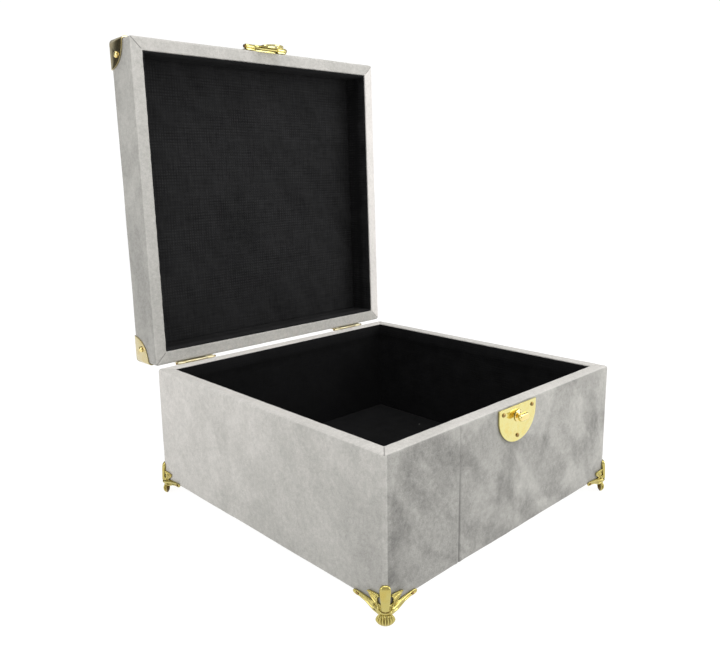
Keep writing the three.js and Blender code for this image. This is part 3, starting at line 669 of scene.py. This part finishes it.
def base_lit_tone(points, side, region):
    """Painted light and shade on the base's pile: painted shade beside the front left corner, and on the left
    painted light growing to the rear and the top.
    """
    x, y = points[:, 0] / HALF, points[:, 1] / HALF
    up = points[:, 2] / BASE_HEIGHT - 0.5
    beside_corner = np.exp(-(points[:, 0] + HALF - CORNER) / CORNER_SHADE_WIDTH)
    front = FRONT_LIGHT_DRIFT["along"] * x + FRONT_LIGHT_DRIFT["up"] * up - CORNER_SHADE * beside_corner
    left = LEFT_LIGHT_DRIFT["along"] * y + LEFT_LIGHT_DRIFT["up"] * up
    light_drift = np.where(side == 0, front, 0) + np.where(side == 3, left, 0)
    return pile_lit_tone(BASE_PILE_LIGHT_AND_MOTTLE, side, region, light_drift)


# Painted light and shade on the lid's pile, by side and region.
def lid_lit_tone(points, side, region):
    return pile_lit_tone(LID_PILE_LIGHT_AND_MOTTLE, side, region)


def make_cover(prefix, height, seam, lit_tone_of, seed, place):
    mesh = cover_mesh(f"{prefix}_velvet", height, seam, lit_tone_of, seed)
    mesh.transform(place)
    piece(f"{prefix}_velvet", mesh, prefix, "velvet", [f"{prefix}_velvet_cover"], CRISP["velvet"])


# The lining's walls: rows, waves and hem. Rises are in millimetres.
OUTER_ROWS = 10
LINING_STEP = 4 * MM
LINING_WAVES = ((0.35, 70), (0.15, 18))
CALM_TOP = 8 * MM
HEM_RISE = 0.35
HEM_TURN = 2 * MM
# The hem gets painted light, and a line just below it painted shade.
HEM_PAINTED_LIGHT = 0.14
HEM_FOLD_SHADE = 0.26
HEM_LINE_BELOW = 1 * MM
HEM_LINE_HALF = 4 * MM
# The floor's lining: its grid, crowded towards its edges, its rolled edge and its waves.
PANEL_STEPS = 90
PANEL_CROWDING = 1.15
PANEL_ROLL = 2.2 * MM
PANEL_WAVES = ((0.22, 110), (0.10, 30))
PANEL_CALM_EDGE = 10 * MM


def lining_walls_mesh(name, height, floor_top, seed, shaded):
    """The lining's four walls, with a rounded top edge and a hem below it, and painted shade on them: lighter on
    the hem and darker along a line below it.
    """
    outer, inner = RIM_WIDTH + GAP, RIM_WIDTH + GAP + LINING
    top, bottom = height - LINING_SET_DOWN, floor_top + GAP
    turn = LINING / 2
    rows = [(outer, z, WALL) for z in np.linspace(bottom, top - turn, OUTER_ROWS)]
    rows += [(outer + turn - turn * c, top - turn + turn * s, WALL) for s, c in arc(LIP_STEPS)[1:]]
    rows += [(outer + turn + turn * s, top - turn + turn * c, WALL) for s, c in arc(LIP_STEPS)[1:]]
    count = max(LEAST_ROWS, round((top - bottom) / LINING_STEP))
    rows += [(inner, z, WALL) for z in np.linspace(top - turn, bottom, count + 1)[1:]]
    made, _, _ = sweep(rows, closed=True)
    bmesh.ops.remove_doubles(made, verts=made.verts, dist=WELD)
    mesh = mesh_from(made, name)
    points, normals = vertex_array(mesh), vertex_array(mesh, "normal")
    facing_in = np.sum(points[:, :2] * normals[:, :2], 1) < 0
    below_top = top - points[:, 2]
    below_hem = below_top - HEM
    on_hem = np.clip(-below_hem / HEM_TURN, 0, 1)
    hem_fold_shade = np.clip(1 - np.abs(below_hem - HEM_LINE_BELOW) / HEM_LINE_HALF, 0, 1)
    rise = ripples(points, LINING_WAVES, seed) * np.clip(below_top / CALM_TOP, 0, 1)
    rise += HEM_RISE * on_hem * np.clip(below_top / HEM_TURN, 0, 1)
    mesh.vertices.foreach_set("co", (points + normals * (rise * facing_in * MM)[:, None]).ravel())
    set_attribute(mesh, "shaded", shaded - HEM_PAINTED_LIGHT * on_hem + HEM_FOLD_SHADE * hem_fold_shade)
    mesh.update()
    return mesh


def lining_panel_mesh(name, floor_top, seed, crown, lint):
    """The lining on the tray's floor: cloth on card with a rolled edge, a little swollen in the middle."""
    reach = HALF - RIM_WIDTH - GAP - LINING + PANEL_TUCK
    low = floor_top + GAP
    run = np.linspace(-1, 1, PANEL_STEPS + 1)
    run = np.sign(run) * (1 - (1 - np.abs(run)) ** PANEL_CROWDING)
    made = bmesh.new()
    for top in (True, False):
        sheet = []
        for v in run:
            for u in run:
                edge = min(1 - abs(u), 1 - abs(v)) * reach
                roll = math.sqrt(max(0, 1 - (1 - min(edge / PANEL_ROLL, 1)) ** 2))
                z = low + LINING * (0.5 + 0.5 * roll) if top else low + LINING * 0.5 * (1 - roll)
                if top:
                    z += crown * (1 - u * u) * (1 - v * v)
                sheet.append(made.verts.new((u * reach, v * reach, z)))
        fill_grid(made, sheet, PANEL_STEPS + 1)
    bmesh.ops.remove_doubles(made, verts=made.verts, dist=TINY_EDGE)
    mesh = mesh_from(made, name)
    points = vertex_array(mesh)
    upper = points[:, 2] > low + LINING * 0.9
    inside = np.clip((reach - np.abs(points[:, :2]).max(1)) / PANEL_CALM_EDGE, 0, 1)
    points[:, 2] += ripples(points, PANEL_WAVES, seed) * inside * upper * MM
    mesh.vertices.foreach_set("co", points.ravel())
    set_attribute(mesh, "lint", np.full(len(points), lint))
    mesh.update()
    return mesh


def make_lining(prefix, height, floor_top, place, seed, crown, shaded, lint):
    slot = f"{prefix}_lining"
    walls = lining_walls_mesh(f"{prefix}_lining_cloth", height, floor_top, seed, shaded)
    walls.transform(place)
    piece(f"{prefix}_lining_cloth", walls, prefix, slot, [f"{prefix}_lining_walls"], CRISP["lining"])
    panel = lining_panel_mesh(f"{prefix}_lining_floor", floor_top, seed + 5, crown, lint)
    panel.transform(place)
    piece(f"{prefix}_lining_floor", panel, prefix, slot, [f"{prefix}_lining_panel"], CRISP["lining"])


make_cover("base", BASE_HEIGHT, seam=True, lit_tone_of=base_lit_tone, seed=11, place=BASE_PLACE)
make_cover("lid", LID_HEIGHT, seam=False, lit_tone_of=lid_lit_tone, seed=31, place=LID_PLACE)
make_lining("base", BASE_HEIGHT, BASE_FLOOR_TOP, BASE_PLACE, seed=51, crown=0.5 * MM, shaded=0, lint=0.5)
make_lining("lid", LID_HEIGHT, LID_FLOOR_TOP, LID_PLACE, seed=71, crown=0.9 * MM, shaded=0.2, lint=0)

# ---- metal pieces

SHUT_PLACE = {
    "base": Matrix.Identity(4),
    "lid": CLOSED_TO_OPEN,
    "hasp": CLOSED_TO_OPEN,
    "knob": Matrix.Identity(4),
}
TURNS = {
    "up": Matrix.Identity(4),
    "front": Matrix.Rotation(math.pi / 2, 4, "X"),
    "rear": Matrix.Rotation(-math.pi / 2, 4, "X"),
    "right": Matrix.Rotation(math.pi / 2, 4, "Y"),
    "left": Matrix.Rotation(-math.pi / 2, 4, "Y"),
}
AXES = {"up": (2, 1), "front": (1, -1), "rear": (1, 1), "right": (0, 1), "left": (0, -1)}


def add_rings(made, rings):
    """Joins closed rings of vertices in order. A ring of one vertex is a point."""
    for low, high in zip(rings, rings[1:]):
        count = max(len(low), len(high))
        for step in range(count):
            after = (step + 1) % count
            if len(low) == 1:
                made.faces.new((low[0], high[after], high[step]))
            elif len(high) == 1:
                made.faces.new((low[step], low[after], high[0]))
            else:
                made.faces.new((low[step], low[after], high[after], high[step]))


def add_lathe(made, profile, sides, matrix, shape=None):
    """Adds a closed turned form from (radius, height) rows that start and end on the axis. A shape gives
    shares of the radius along X and Y from the angle and the height."""
    rings = []
    for radius, height in profile:
        if radius == 0:
            rings.append([made.verts.new(matrix @ Vector((0, 0, height)))])
            continue
        ring = []
        for step in range(sides):
            angle = 2 * math.pi * step / sides
            wide, deep = shape(angle, height) if shape else (1, 1)
            spot = Vector((radius * wide * math.cos(angle), radius * deep * math.sin(angle), height))
            ring.append(made.verts.new(matrix @ spot))
        rings.append(ring)
    add_rings(made, rings)


NAIL_SIDES = 28
BRAD_SIDES = 20
DOME_STEPS = 9
# A nail head's rim up to its dome, as shares of its radius and its rise.
HEAD_RIM = [(0.93, 0), (1, 0.10), (0.985, 0.22), (0.90, 0.30)]
FLAT = math.radians(0.7)


def dome_profile(head, rise, shank, length):
    """A domed nail along +Z with the underside of its head at zero: point, shank, rolled rim and dome."""
    rows = [(0, -length), (shank, -length + 1.5 * shank), (shank, 0)]
    rows += [(head * wide, rise * up) for wide, up in HEAD_RIM]
    wide, foot = HEAD_RIM[-1]
    for angle in np.linspace(0, math.pi / 2, DOME_STEPS)[1:-1]:
        rows.append((head * wide * math.cos(angle), rise * (foot + (1 - foot) * math.sin(angle))))
    return rows + [(0, rise)]


def make_nail(node_name, facing, body, slot, head, rise, shank, length):
    """A smooth nail in a CAD nail's place. Facing is its direction with the lid shut."""
    place = SHUT_PLACE[body]
    inverse = place.inverted()
    points = np.array([inverse @ vert.co for vert in frame["nodes"][node_name].data.vertices])
    low, high = points.min(0), points.max(0)
    axis, sign = AXES[facing]
    seat = (low + high) / 2
    seat[axis] = (high[axis] if sign > 0 else low[axis]) - sign * rise
    matrix = place @ Matrix.Translation(seat) @ TURNS[facing]
    made = bmesh.new()
    add_lathe(made, dome_profile(head, rise, shank, length), NAIL_SIDES, matrix)
    piece(f"{node_name}_domed", mesh_from(made, node_name), body, slot, [node_name], CRISP["turned"])


def make_softened(node_name, body, slot, width, segments=2, sharp=30):
    """A CAD metal part with its edges rounded over, as pressed and polished metal has them."""
    made = bmesh.new()
    made.from_mesh(frame["nodes"][node_name].data)
    bmesh.ops.remove_doubles(made, verts=made.verts, dist=WELD)
    bmesh.ops.dissolve_limit(made, angle_limit=FLAT, verts=made.verts, edges=made.edges)
    limit = math.radians(sharp)
    edges = [edge for edge in made.edges if edge.is_manifold and edge.calc_face_angle(0) > limit]
    bmesh.ops.bevel(made, geom=edges, offset=width, segments=segments, profile=0.5, affect="EDGES",
                    clamp_overlap=True)
    bmesh.ops.triangulate(made, faces=[face for face in made.faces if len(face.verts) > 4])
    piece(f"{node_name}_polished", mesh_from(made, node_name), body, slot, [node_name], CRISP["pressed"])


# The turn knob in millimetres from its joint. The stem's (radius, height) rows are a captive flange,
# the shank, a stepped boss and a neck that ends inside the bar head.
KNOB_STEM = [(0, -9.9), (3.6, -9.9), (3.6, -7.9), (2.0, -7.9), (2.0, 1.9), (5.0, 1.9), (5.0, 2.2), (4.7, 2.5),
             (3.7, 2.6), (2.9, 2.9), (2.2, 3.5), (2.2, 5.8), (0, 5.8)]
KNOB_HEAD = {"low": 4.8, "high": 8.6, "half": 6.3, "radius": 3.1, "round": 1.3, "full": 0.75, "waist": 0.10}
KNOB_SIDES = 40
HEAD_RINGS = 15


def in_metres(rows):
    return [(radius * MM, height * MM) for radius, height in rows]


def bar_outline(radius):
    """A section of the bar head: two round ends of that radius, and a slight waist between them."""
    half = KNOB_HEAD["half"]
    points = []
    per_end = KNOB_SIDES // 2
    for end in (0, 1):
        centre = (half - KNOB_HEAD["radius"]) * (1 - 2 * end)
        for step in range(per_end):
            turn = math.pi * (step / (per_end - 1) + end - 0.5)
            x = centre + radius * math.cos(turn)
            waist = 1 - KNOB_HEAD["waist"] * math.cos(math.pi * min(1, abs(x) / half)) ** 2
            points.append((x, radius * math.sin(turn) * waist))
    return points


def make_knob():
    place = Matrix.Translation(JOINTS["knob_turn"]["pos_m"]) @ TURNS["front"]
    made = bmesh.new()
    add_lathe(made, in_metres(KNOB_STEM), KNOB_SIDES, place)
    middle = (KNOB_HEAD["low"] + KNOB_HEAD["high"]) / 2
    tall = (KNOB_HEAD["high"] - KNOB_HEAD["low"]) / 2
    rings = []
    for angle in np.linspace(-math.pi / 2, math.pi / 2, HEAD_RINGS):
        inset = KNOB_HEAD["round"] * (1 - math.cos(angle) ** KNOB_HEAD["full"])
        height = middle + tall * math.sin(angle)
        spots = [Vector((x * MM, y * MM, height * MM)) for x, y in bar_outline(KNOB_HEAD["radius"] - inset)]
        rings.append([made.verts.new(place @ spot) for spot in spots])
    add_rings(made, rings)
    made.faces.new(rings[0])
    made.faces.new(rings[-1])
    mesh = mesh_from(made, "turn_knob")
    piece("turn_knob_polished", mesh, "knob", "knob_gilt", ["turn_knob"], CRISP["turned"])


# ---- cast feet

FOOT_DROP = 14 * MM
SKIN_CELL = 0.27 * MM
BRAD = {"head": 1.2 * MM, "rise": 0.7 * MM, "shank": 0.5 * MM, "length": 5 * MM}
BRAD_PLACE = Vector((26.0, -1.75, 1.1)) * MM
SPINE_CREASE = {"half": 3.0 * MM, "height": -1.75 * MM, "width": 0.45 * MM}
# The half shell, in millimetres and shares of its radius. Its ribs are highest at its middle.
SHELL_MIDDLE = -9.4
SHELL_SPREAD = 3.6
SHELL_RIBS = 9
SHELL_SIDES = 216
RIB_HEIGHT = 0.28
RIB_LEVEL = 0.7
SHELL_DEPTH = 0.646
SHELL_BACK = 0.86
SHELL_HOLLOW = 0.38
BEHIND = 0.9
GROOVE = 0.16


def add_blob(made, place, size):
    """An egg-shaped lump. Its place and its half sizes are in millimetres."""
    matrix = Matrix.Translation(Vector(place) * MM) @ Matrix.Diagonal((*(Vector(size) * MM), 1))
    bmesh.ops.create_icosphere(made, subdivisions=3, radius=1, matrix=matrix)


def add_vein(made, points, radii):
    """A smooth raised vein through points, as a row of overlapping lumps flattened towards the box."""
    for (a, b), (ra, rb) in zip(zip(points, points[1:]), zip(radii, radii[1:])):
        count = max(2, round((Vector(b) - Vector(a)).length / (VEIN_SPACING * min(ra, rb))))
        for share in np.linspace(0, 1, count):
            radius = ra + (rb - ra) * share
            add_blob(made, Vector(a).lerp(Vector(b), share), (radius, radius * VEIN_DEPTH, radius))


def add_plate(made, outline, low, high):
    """A flat plate from an outline in x and z, between two y values, all in millimetres."""
    near = [made.verts.new(Vector((x, low, z)) * MM) for x, z in outline]
    far = [made.verts.new(Vector((x, high, z)) * MM) for x, z in outline]
    made.faces.new(near)
    made.faces.new(far[::-1])
    for index in range(len(outline)):
        after = (index + 1) % len(outline)
        made.faces.new((near[index], far[index], far[after], near[after]))


# Outlines on a face, along it and up, in millimetres.
ARM = [(0, -2.4), (4, -4.6), (9.6, -4.9), (12.3, -4.1), (15, -2.9), (17.7, -1.8), (21, -0.8), (24, -0.3),
       (28, -0.2), (30.4, 0.5), (30.6, 1.8), (28.8, 2.8), (24, 2.9), (17.7, 2.4), (12.5, 1.8), (10, 1.6),
       (6, 1.4), (0, 1.4)]
LEAF = [(0, 0), (8.4, 1.0), (10, 2.3), (12.2, 3.4), (14.2, 4.8), (15.4, 6.3), (16, 7.9), (13.6, 8.5),
        (9.9, 8.9), (5.6, 8.9), (4.4, 8.5), (4.4, 7.4), (6.2, 6.6), (6.5, 3.0), (5.0, 1.9), (0, 1.6)]
PLATE_OUT, PLATE_IN = -1.35, -0.35
# A face's raised veins: places in millimetres along the face, out from it and up, and the radii there.
VEIN_SPACING = 0.5
VEIN_DEPTH = 0.75
VEINS = [
    ([(5.0, -2.3, -1.7), (9.9, -1.8, -0.7), (14, -1.5, 0.5), (18, -1.4, 1.2), (24.4, -1.4, 2.3)],
     [1.6, 1.35, 1.15, 1.0, 0.65]),
    ([(3.8, -1.6, -4.4), (9.9, -1.6, -4.1), (13, -1.5, -3.1), (17.7, -1.4, -1.2), (24.2, -1.3, -0.1)],
     [1.3, 0.75, 0.7, 0.65, 0.55]),
    ([(24.2, -1.4, 2.2), (26.6, -1.4, 2.7), (29.2, -1.4, 2.4), (30.1, -1.4, 1.3)], [0.65, 0.6, 0.55, 0.55]),
    ([(24.2, -1.4, -0.1), (27, -1.4, -0.2), (29.4, -1.4, 0.2), (30.1, -1.4, 1.3)], [0.5, 0.5, 0.5, 0.55]),
    ([(6.6, -1.7, 4.6), (10.4, -1.75, 5.9), (15.0, -1.45, 7.4)], [0.85, 0.75, 0.4]),
    ([(8.2, -1.5, 1.6), (12.0, -1.5, 4.0), (15.4, -1.4, 7.2)], [0.7, 0.5, 0.4]),
    ([(5.2, -1.9, 0.4), (7.0, -1.7, 3.0), (6.6, -1.6, 6.4), (5.0, -1.6, 8.2)], [0.9, 0.55, 0.5, 0.7]),
]
LEAF_BEADS = 7
SPINE_FLATNESS = 0.5
DIAGONAL = Matrix.Rotation(math.radians(-45), 4, "Z")
FOOT_COLUMN = Matrix.Translation(Vector((2.12, 2.12, 0)) * MM) @ DIAGONAL


def add_foot_side(made):
    """What lies on one face of the corner: an arm with an eye, and a leaf with veins and beads."""
    for outline in (ARM, LEAF):
        add_plate(made, outline, PLATE_OUT, PLATE_IN)
    for points, radii in VEINS:
        add_vein(made, points, radii)
    for share in np.linspace(0, 1, LEAF_BEADS):
        place = (5.6 + 9.8 * share, -1.6, 8.6 - 0.8 * share ** 2)
        add_blob(made, place, (0.85 - 0.25 * share, 0.85, 0.8 - 0.25 * share))


def flat_oval(angle, height):
    """A squarish oval section, flatter across the corner than along it."""
    share = (abs(math.cos(angle)) ** 3 + abs(math.sin(angle)) ** 3) ** (-1 / 3)
    return share, SPINE_FLATNESS * share


def flutes(angle, height):
    """The half shell's section: ribbed outside, and hollow on the side that faces the middle of the box."""
    share = math.exp(-(((height / MM - SHELL_MIDDLE) / SHELL_SPREAD) ** 2))
    if math.sin(angle) > 1e-6:
        return SHELL_BACK, -SHELL_HOLLOW * share
    rib = 1 + RIB_HEIGHT * share * (abs(math.sin(SHELL_RIBS * angle)) - RIB_LEVEL)
    return rib, SHELL_DEPTH * rib


SWAP_XY = Matrix(((0, 1, 0, 0), (1, 0, 0, 0), (0, 0, 1, 0), (0, 0, 0, 1)))
# The seat under the corner, and the turned parts as (radius, height), in millimetres.
SEAT = [(-1.5, -1.5), (12, -1.5), (12, 12), (-1.5, 12)]
SEAT_LOW, SEAT_HIGH = -1.6, -0.35
SPINE = [(0, -1.5), (2.0, -1.45), (2.6, -1.1), (2.8, -0.3), (3.0, 2), (3.4, 5.5), (3.8, 9.5), (4.0, 12.5),
         (3.9, 14.2), (3.4, 15.5), (2.5, 16.4), (1.4, 16.9), (0, 17.0)]
BOWL = [(0, -1.8), (4.2, -1.8), (5.3, -2.0), (5.6, -2.6), (5.4, -3.2), (4.7, -4.1), (3.8, -4.8), (3.1, -5.3),
        (2.8, -5.9), (2.8, -6.6), (0, -6.6)]
SHELL = [(0, -5.0), (2.9, -5.0), (4.3, -5.5), (5.4, -6.6), (6.1, -7.9), (6.4, -9.2), (6.2, -10.6),
         (5.5, -11.9), (4.4, -13.0), (3.3, -13.7), (2.5, -14.0), (0, -14.0)]
SPINE_LEAN = Matrix.Rotation(math.radians(-6.5), 4, "X")
SPINE_PLACE = Matrix.Translation(Vector((-0.42, -0.42, 0)) * MM) @ DIAGONAL @ SPINE_LEAN
COLUMN_SIDES = 48


def foot_bmesh():
    """One foot but its shell, for a corner whose faces are x = 0 and y = 0 and whose bottom is z = 0."""
    made = bmesh.new()
    add_foot_side(made)
    mirrored = bmesh.new()
    add_foot_side(mirrored)
    bmesh.ops.transform(mirrored, matrix=SWAP_XY, verts=mirrored.verts)
    bmesh.ops.reverse_faces(mirrored, faces=mirrored.faces)
    other = mesh_from(mirrored, "other_side")
    made.from_mesh(other)
    bpy.data.meshes.remove(other)
    low = [made.verts.new(Vector((x, y, SEAT_LOW)) * MM) for x, y in SEAT]
    high = [made.verts.new(Vector((x, y, SEAT_HIGH)) * MM) for x, y in SEAT]
    add_rings(made, [low, high])
    made.faces.new(low[::-1])
    made.faces.new(high)
    add_lathe(made, in_metres(SPINE), COLUMN_SIDES, SPINE_PLACE, flat_oval)
    add_lathe(made, in_metres(BOWL), COLUMN_SIDES, FOOT_COLUMN, lambda angle, height: (1.0, 0.9))
    return made


def add_shell(made):
    """The fluted half shell under the collar, closed in itself, with painted shade in its grooves and a painted
    dark reflection on its back.
    """
    fine = [SHELL[0]]
    for (r0, z0), (r1, z1) in zip(SHELL[1:-1], SHELL[2:-1]):
        fine += [(r0, z0), (r0 + (r1 - r0) * 0.5, z0 + (z1 - z0) * 0.5)]
    fine += SHELL[-2:]
    before = len(made.verts)
    add_lathe(made, in_metres(fine), SHELL_SIDES, FOOT_COLUMN, flutes)
    painted_shade = made.verts.layers.float["painted_shade"]
    inverse = FOOT_COLUMN.inverted()
    radii, heights = zip(*in_metres(SHELL[1:-1]))
    for vert in list(made.verts)[before:]:
        spot = inverse @ vert.co
        angle = math.atan2(spot.y / SHELL_DEPTH, spot.x)
        rib, _ = flutes(angle, spot.z)
        reach = math.hypot(spot.x, spot.y / SHELL_DEPTH)
        full = np.interp(-spot.z, [-height for height in heights], radii)
        # The back, which faces under the box, gets a painted dark reflection, and the grooves between the ribs
        # painted shade.
        behind = reach < BEHIND * full * rib
        vert[painted_shade] = 1.0 if behind else min(1, max(0, (1.0 - rib) / GROOVE))


def cast_skin(mesh):
    """One closed skin round overlapping forms, relaxed a little so that they run together as in a casting."""
    carrier = add_object("carrier", mesh)
    skin = carrier.modifiers.new("skin", "REMESH")
    skin.mode = "VOXEL"
    skin.voxel_size = SKIN_CELL
    ease = carrier.modifiers.new("ease", "SMOOTH")
    ease.factor = 0.5
    ease.iterations = 2
    thin = carrier.modifiers.new("thin", "DECIMATE")
    thin.ratio = 0.45
    evaluated = carrier.evaluated_get(bpy.context.evaluated_depsgraph_get())
    made = bpy.data.meshes.new_from_object(evaluated)
    bpy.data.objects.remove(carrier)
    return made


def make_feet():
    body = bmesh.new()
    body.from_mesh(cast_skin(mesh_from(foot_bmesh(), "foot")))
    # Painted shade along the line where the spine meets the bowl.
    painted_shade = body.verts.layers.float.new("painted_shade")
    inverse = FOOT_COLUMN.inverted()
    for vert in body.verts:
        spot = inverse @ vert.co
        if spot.y < 0 and abs(spot.x) < SPINE_CREASE["half"]:
            above = (spot.z - SPINE_CREASE["height"]) / SPINE_CREASE["width"]
            vert[painted_shade] = math.exp(-(above ** 2))
    add_shell(body)
    cast = mesh_from(body, "foot")
    middle = Vector((0, (BASE_LOW.y + BASE_HIGH.y) / 2, FOOT_DROP))
    for quarter, corner in enumerate(("front_left", "front_right", "rear_right", "rear_left")):
        turn = Matrix.Translation(middle) @ Matrix.Rotation(quarter * math.pi / 2, 4, "Z")
        place = turn @ Matrix.Translation((-HALF, -HALF, 0))
        mesh = cast.copy()
        mesh.transform(place)
        piece(f"foot_{corner}_cast", mesh, "base", "foot_gilt", [f"foot_{corner}"], CRISP["cast"])
        for arm, facing in (("along", "front"), ("back", "left")):
            x, y, z = BRAD_PLACE
            spot = Vector((x, y, z)) if arm == "along" else Vector((y, x, z))
            matrix = place @ Matrix.Translation(spot) @ TURNS[facing]
            made = bmesh.new()
            add_lathe(made, dome_profile(**BRAD), BRAD_SIDES, matrix)
            brad = mesh_from(made, "brad")
            piece(f"foot_{corner}_brad_{arm}", brad, "base", "pin_gilt", (), CRISP["turned"])


TACK = {"head": 3.0 * MM, "rise": 1.9 * MM, "shank": 0.8 * MM, "length": 6.5 * MM}
PLATE_PIN = {"head": 1.7 * MM, "rise": 0.9 * MM, "shank": 0.7 * MM, "length": 7 * MM}
LEAF_NAIL = {"head": 1.5 * MM, "rise": 0.7 * MM, "shank": 0.7 * MM, "length": 7 * MM}
# How far the edges of each kind of part are rounded over.
CORNER_EDGE = 0.35 * MM
CATCH_EDGE = 0.4 * MM
HASP_EDGE = 0.25 * MM
HINGE_EDGE = 0.12 * MM


def make_hardware():
    for end in ("front", "rear"):
        for side in ("left", "right"):
            corner = f"{end}_{side}"
            make_softened(f"lid_corner_{corner}", "lid", "corner_gilt", CORNER_EDGE, 3, 40)
            for face, facing in (("top", "up"), ("side", side), ("end", end)):
                make_nail(f"corner_tack_{corner}_{face}", facing, "lid", "tack_gilt", **TACK)
    make_softened("catch_plate", "base", "catch_gilt", CATCH_EDGE, 3)
    make_softened("hasp_plate", "lid", "catch_gilt", HASP_EDGE)
    make_softened("hasp_flap", "hasp", "catch_gilt", HASP_EDGE)
    for pin in ("left", "right", "lower"):
        make_nail(f"catch_pin_{pin}", "front", "base", "pin_gilt", **PLATE_PIN)
    for side in ("left", "right"):
        make_nail(f"hasp_plate_pin_{side}", "front", "lid", "pin_gilt", **PLATE_PIN)
        make_softened(f"hinge_{side}_base_leaf", "base", "hinge_gilt", HINGE_EDGE)
        make_softened(f"hinge_{side}_lid_leaf", "lid", "hinge_gilt", HINGE_EDGE)
        for end in ("outer", "inner"):
            make_nail(f"hinge_{side}_base_nail_{end}", "rear", "base", "pin_gilt", **LEAF_NAIL)
            make_nail(f"hinge_{side}_lid_nail_{end}", "rear", "lid", "pin_gilt", **LEAF_NAIL)
    make_knob()
    make_feet()


make_hardware()

# ---- CAD nodes that stay, with better finishes

SLOT_OF = {row["node"]: row["material_slot"] for row in frame["record"]["subparts"]}
for node_name, node in frame["nodes"].items():
    node.data.materials.clear()
    node.data.materials.append(MATERIALS[SLOT_OF[node_name]])

# ---- stage, lights and camera

WHITE = (1, 1, 1, 1)
# The studio is dark round this direction. It dims between two cosines.
DARK_WAY = Vector((-0.66, 0.70, 0.28)).normalized()
DARK_FROM, DARK_TO = 0.80, 0.96
STUDIO_BRIGHT, STUDIO_DARK = 0.55, 0.05
LIGHT_TARGET = (0, 0, 0.15)
# Each light's name, place, width, height and power.
LIGHTS = [
    ("top_box", (-0.1, -0.4, 1.6), 1.4, 1.4, 14),
    ("left_box", (-1.3, 0.2, 0.6), 0.9, 0.9, 6),
    ("right_box", (0.85, -1.1, 0.6), 0.9, 0.9, 9),
]
CAMERA_PLACE = (-460.6 * MM, -475.3 * MM, 305.3 * MM)
CAMERA_TURN = [math.radians(angle) for angle in (79.075, 0.746, -43.858)]


def make_floor():
    made = bmesh.new()
    bmesh.ops.create_grid(made, x_segments=2, y_segments=2, size=6)
    mesh = bpy.data.meshes.new("studio_floor")
    made.to_mesh(mesh)
    made.free()
    floor = add_object("studio_floor", mesh)
    shader = Shader("studio_floor")
    shader.set(base_color=(0.16, 0.16, 0.16, 1), roughness=0.9, specular_ior_level=0.0)
    shader.set(emission_color=WHITE, emission_strength=0.93)
    mesh.materials.append(shader.material)


def make_world():
    """Plain white behind the object, lit by a soft studio that is darker at the back left."""
    world = bpy.data.worlds.new("studio")
    bpy.context.scene.world = world
    world.use_nodes = True
    tree = world.node_tree
    tree.nodes.clear()
    kinds = ("TexCoord", "VectorMath", "MapRange", "Background", "Background", "LightPath", "MixShader")
    where, dot, dark, studio, plain, path, mix = (tree.nodes.new(f"ShaderNode{kind}") for kind in kinds)
    dot.operation = "DOT_PRODUCT"
    dot.inputs[1].default_value = DARK_WAY
    dark.interpolation_type = "SMOOTHSTEP"
    for socket, value in zip(dark.inputs[1:5], (DARK_FROM, DARK_TO, STUDIO_BRIGHT, STUDIO_DARK)):
        socket.default_value = value
    for background in (studio, plain):
        background.inputs["Color"].default_value = WHITE
    plain.inputs["Strength"].default_value = 1.05
    out = tree.nodes.new("ShaderNodeOutputWorld")
    tree.links.new(where.outputs["Generated"], dot.inputs[0])
    tree.links.new(dot.outputs["Value"], dark.inputs[0])
    tree.links.new(dark.outputs[0], studio.inputs["Strength"])
    tree.links.new(path.outputs["Is Camera Ray"], mix.inputs[0])
    tree.links.new(studio.outputs[0], mix.inputs[1])
    tree.links.new(plain.outputs[0], mix.inputs[2])
    tree.links.new(mix.outputs[0], out.inputs["Surface"])


def make_light(name, place, width, height, power):
    lamp = bpy.data.lights.new(name, "AREA")
    lamp.shape = "RECTANGLE"
    lamp.size, lamp.size_y = width, height
    lamp.energy = power
    made = add_object(name, lamp)
    made.location = place
    made.rotation_euler = (Vector(LIGHT_TARGET) - Vector(place)).to_track_quat("-Z", "Y").to_euler()


def make_camera():
    lens = bpy.data.cameras.new("camera")
    lens.sensor_width = 36
    lens.lens = 35.59
    lens.shift_x = -0.0004
    lens.shift_y = -0.0299
    lens.clip_start = 0.01
    made = add_object("camera", lens)
    made.location = CAMERA_PLACE
    made.rotation_euler = CAMERA_TURN
    bpy.context.scene.camera = made


make_floor()
make_world()
for light in LIGHTS:
    make_light(*light)
make_camera()
bpy.context.scene.view_settings.view_transform = "Standard"
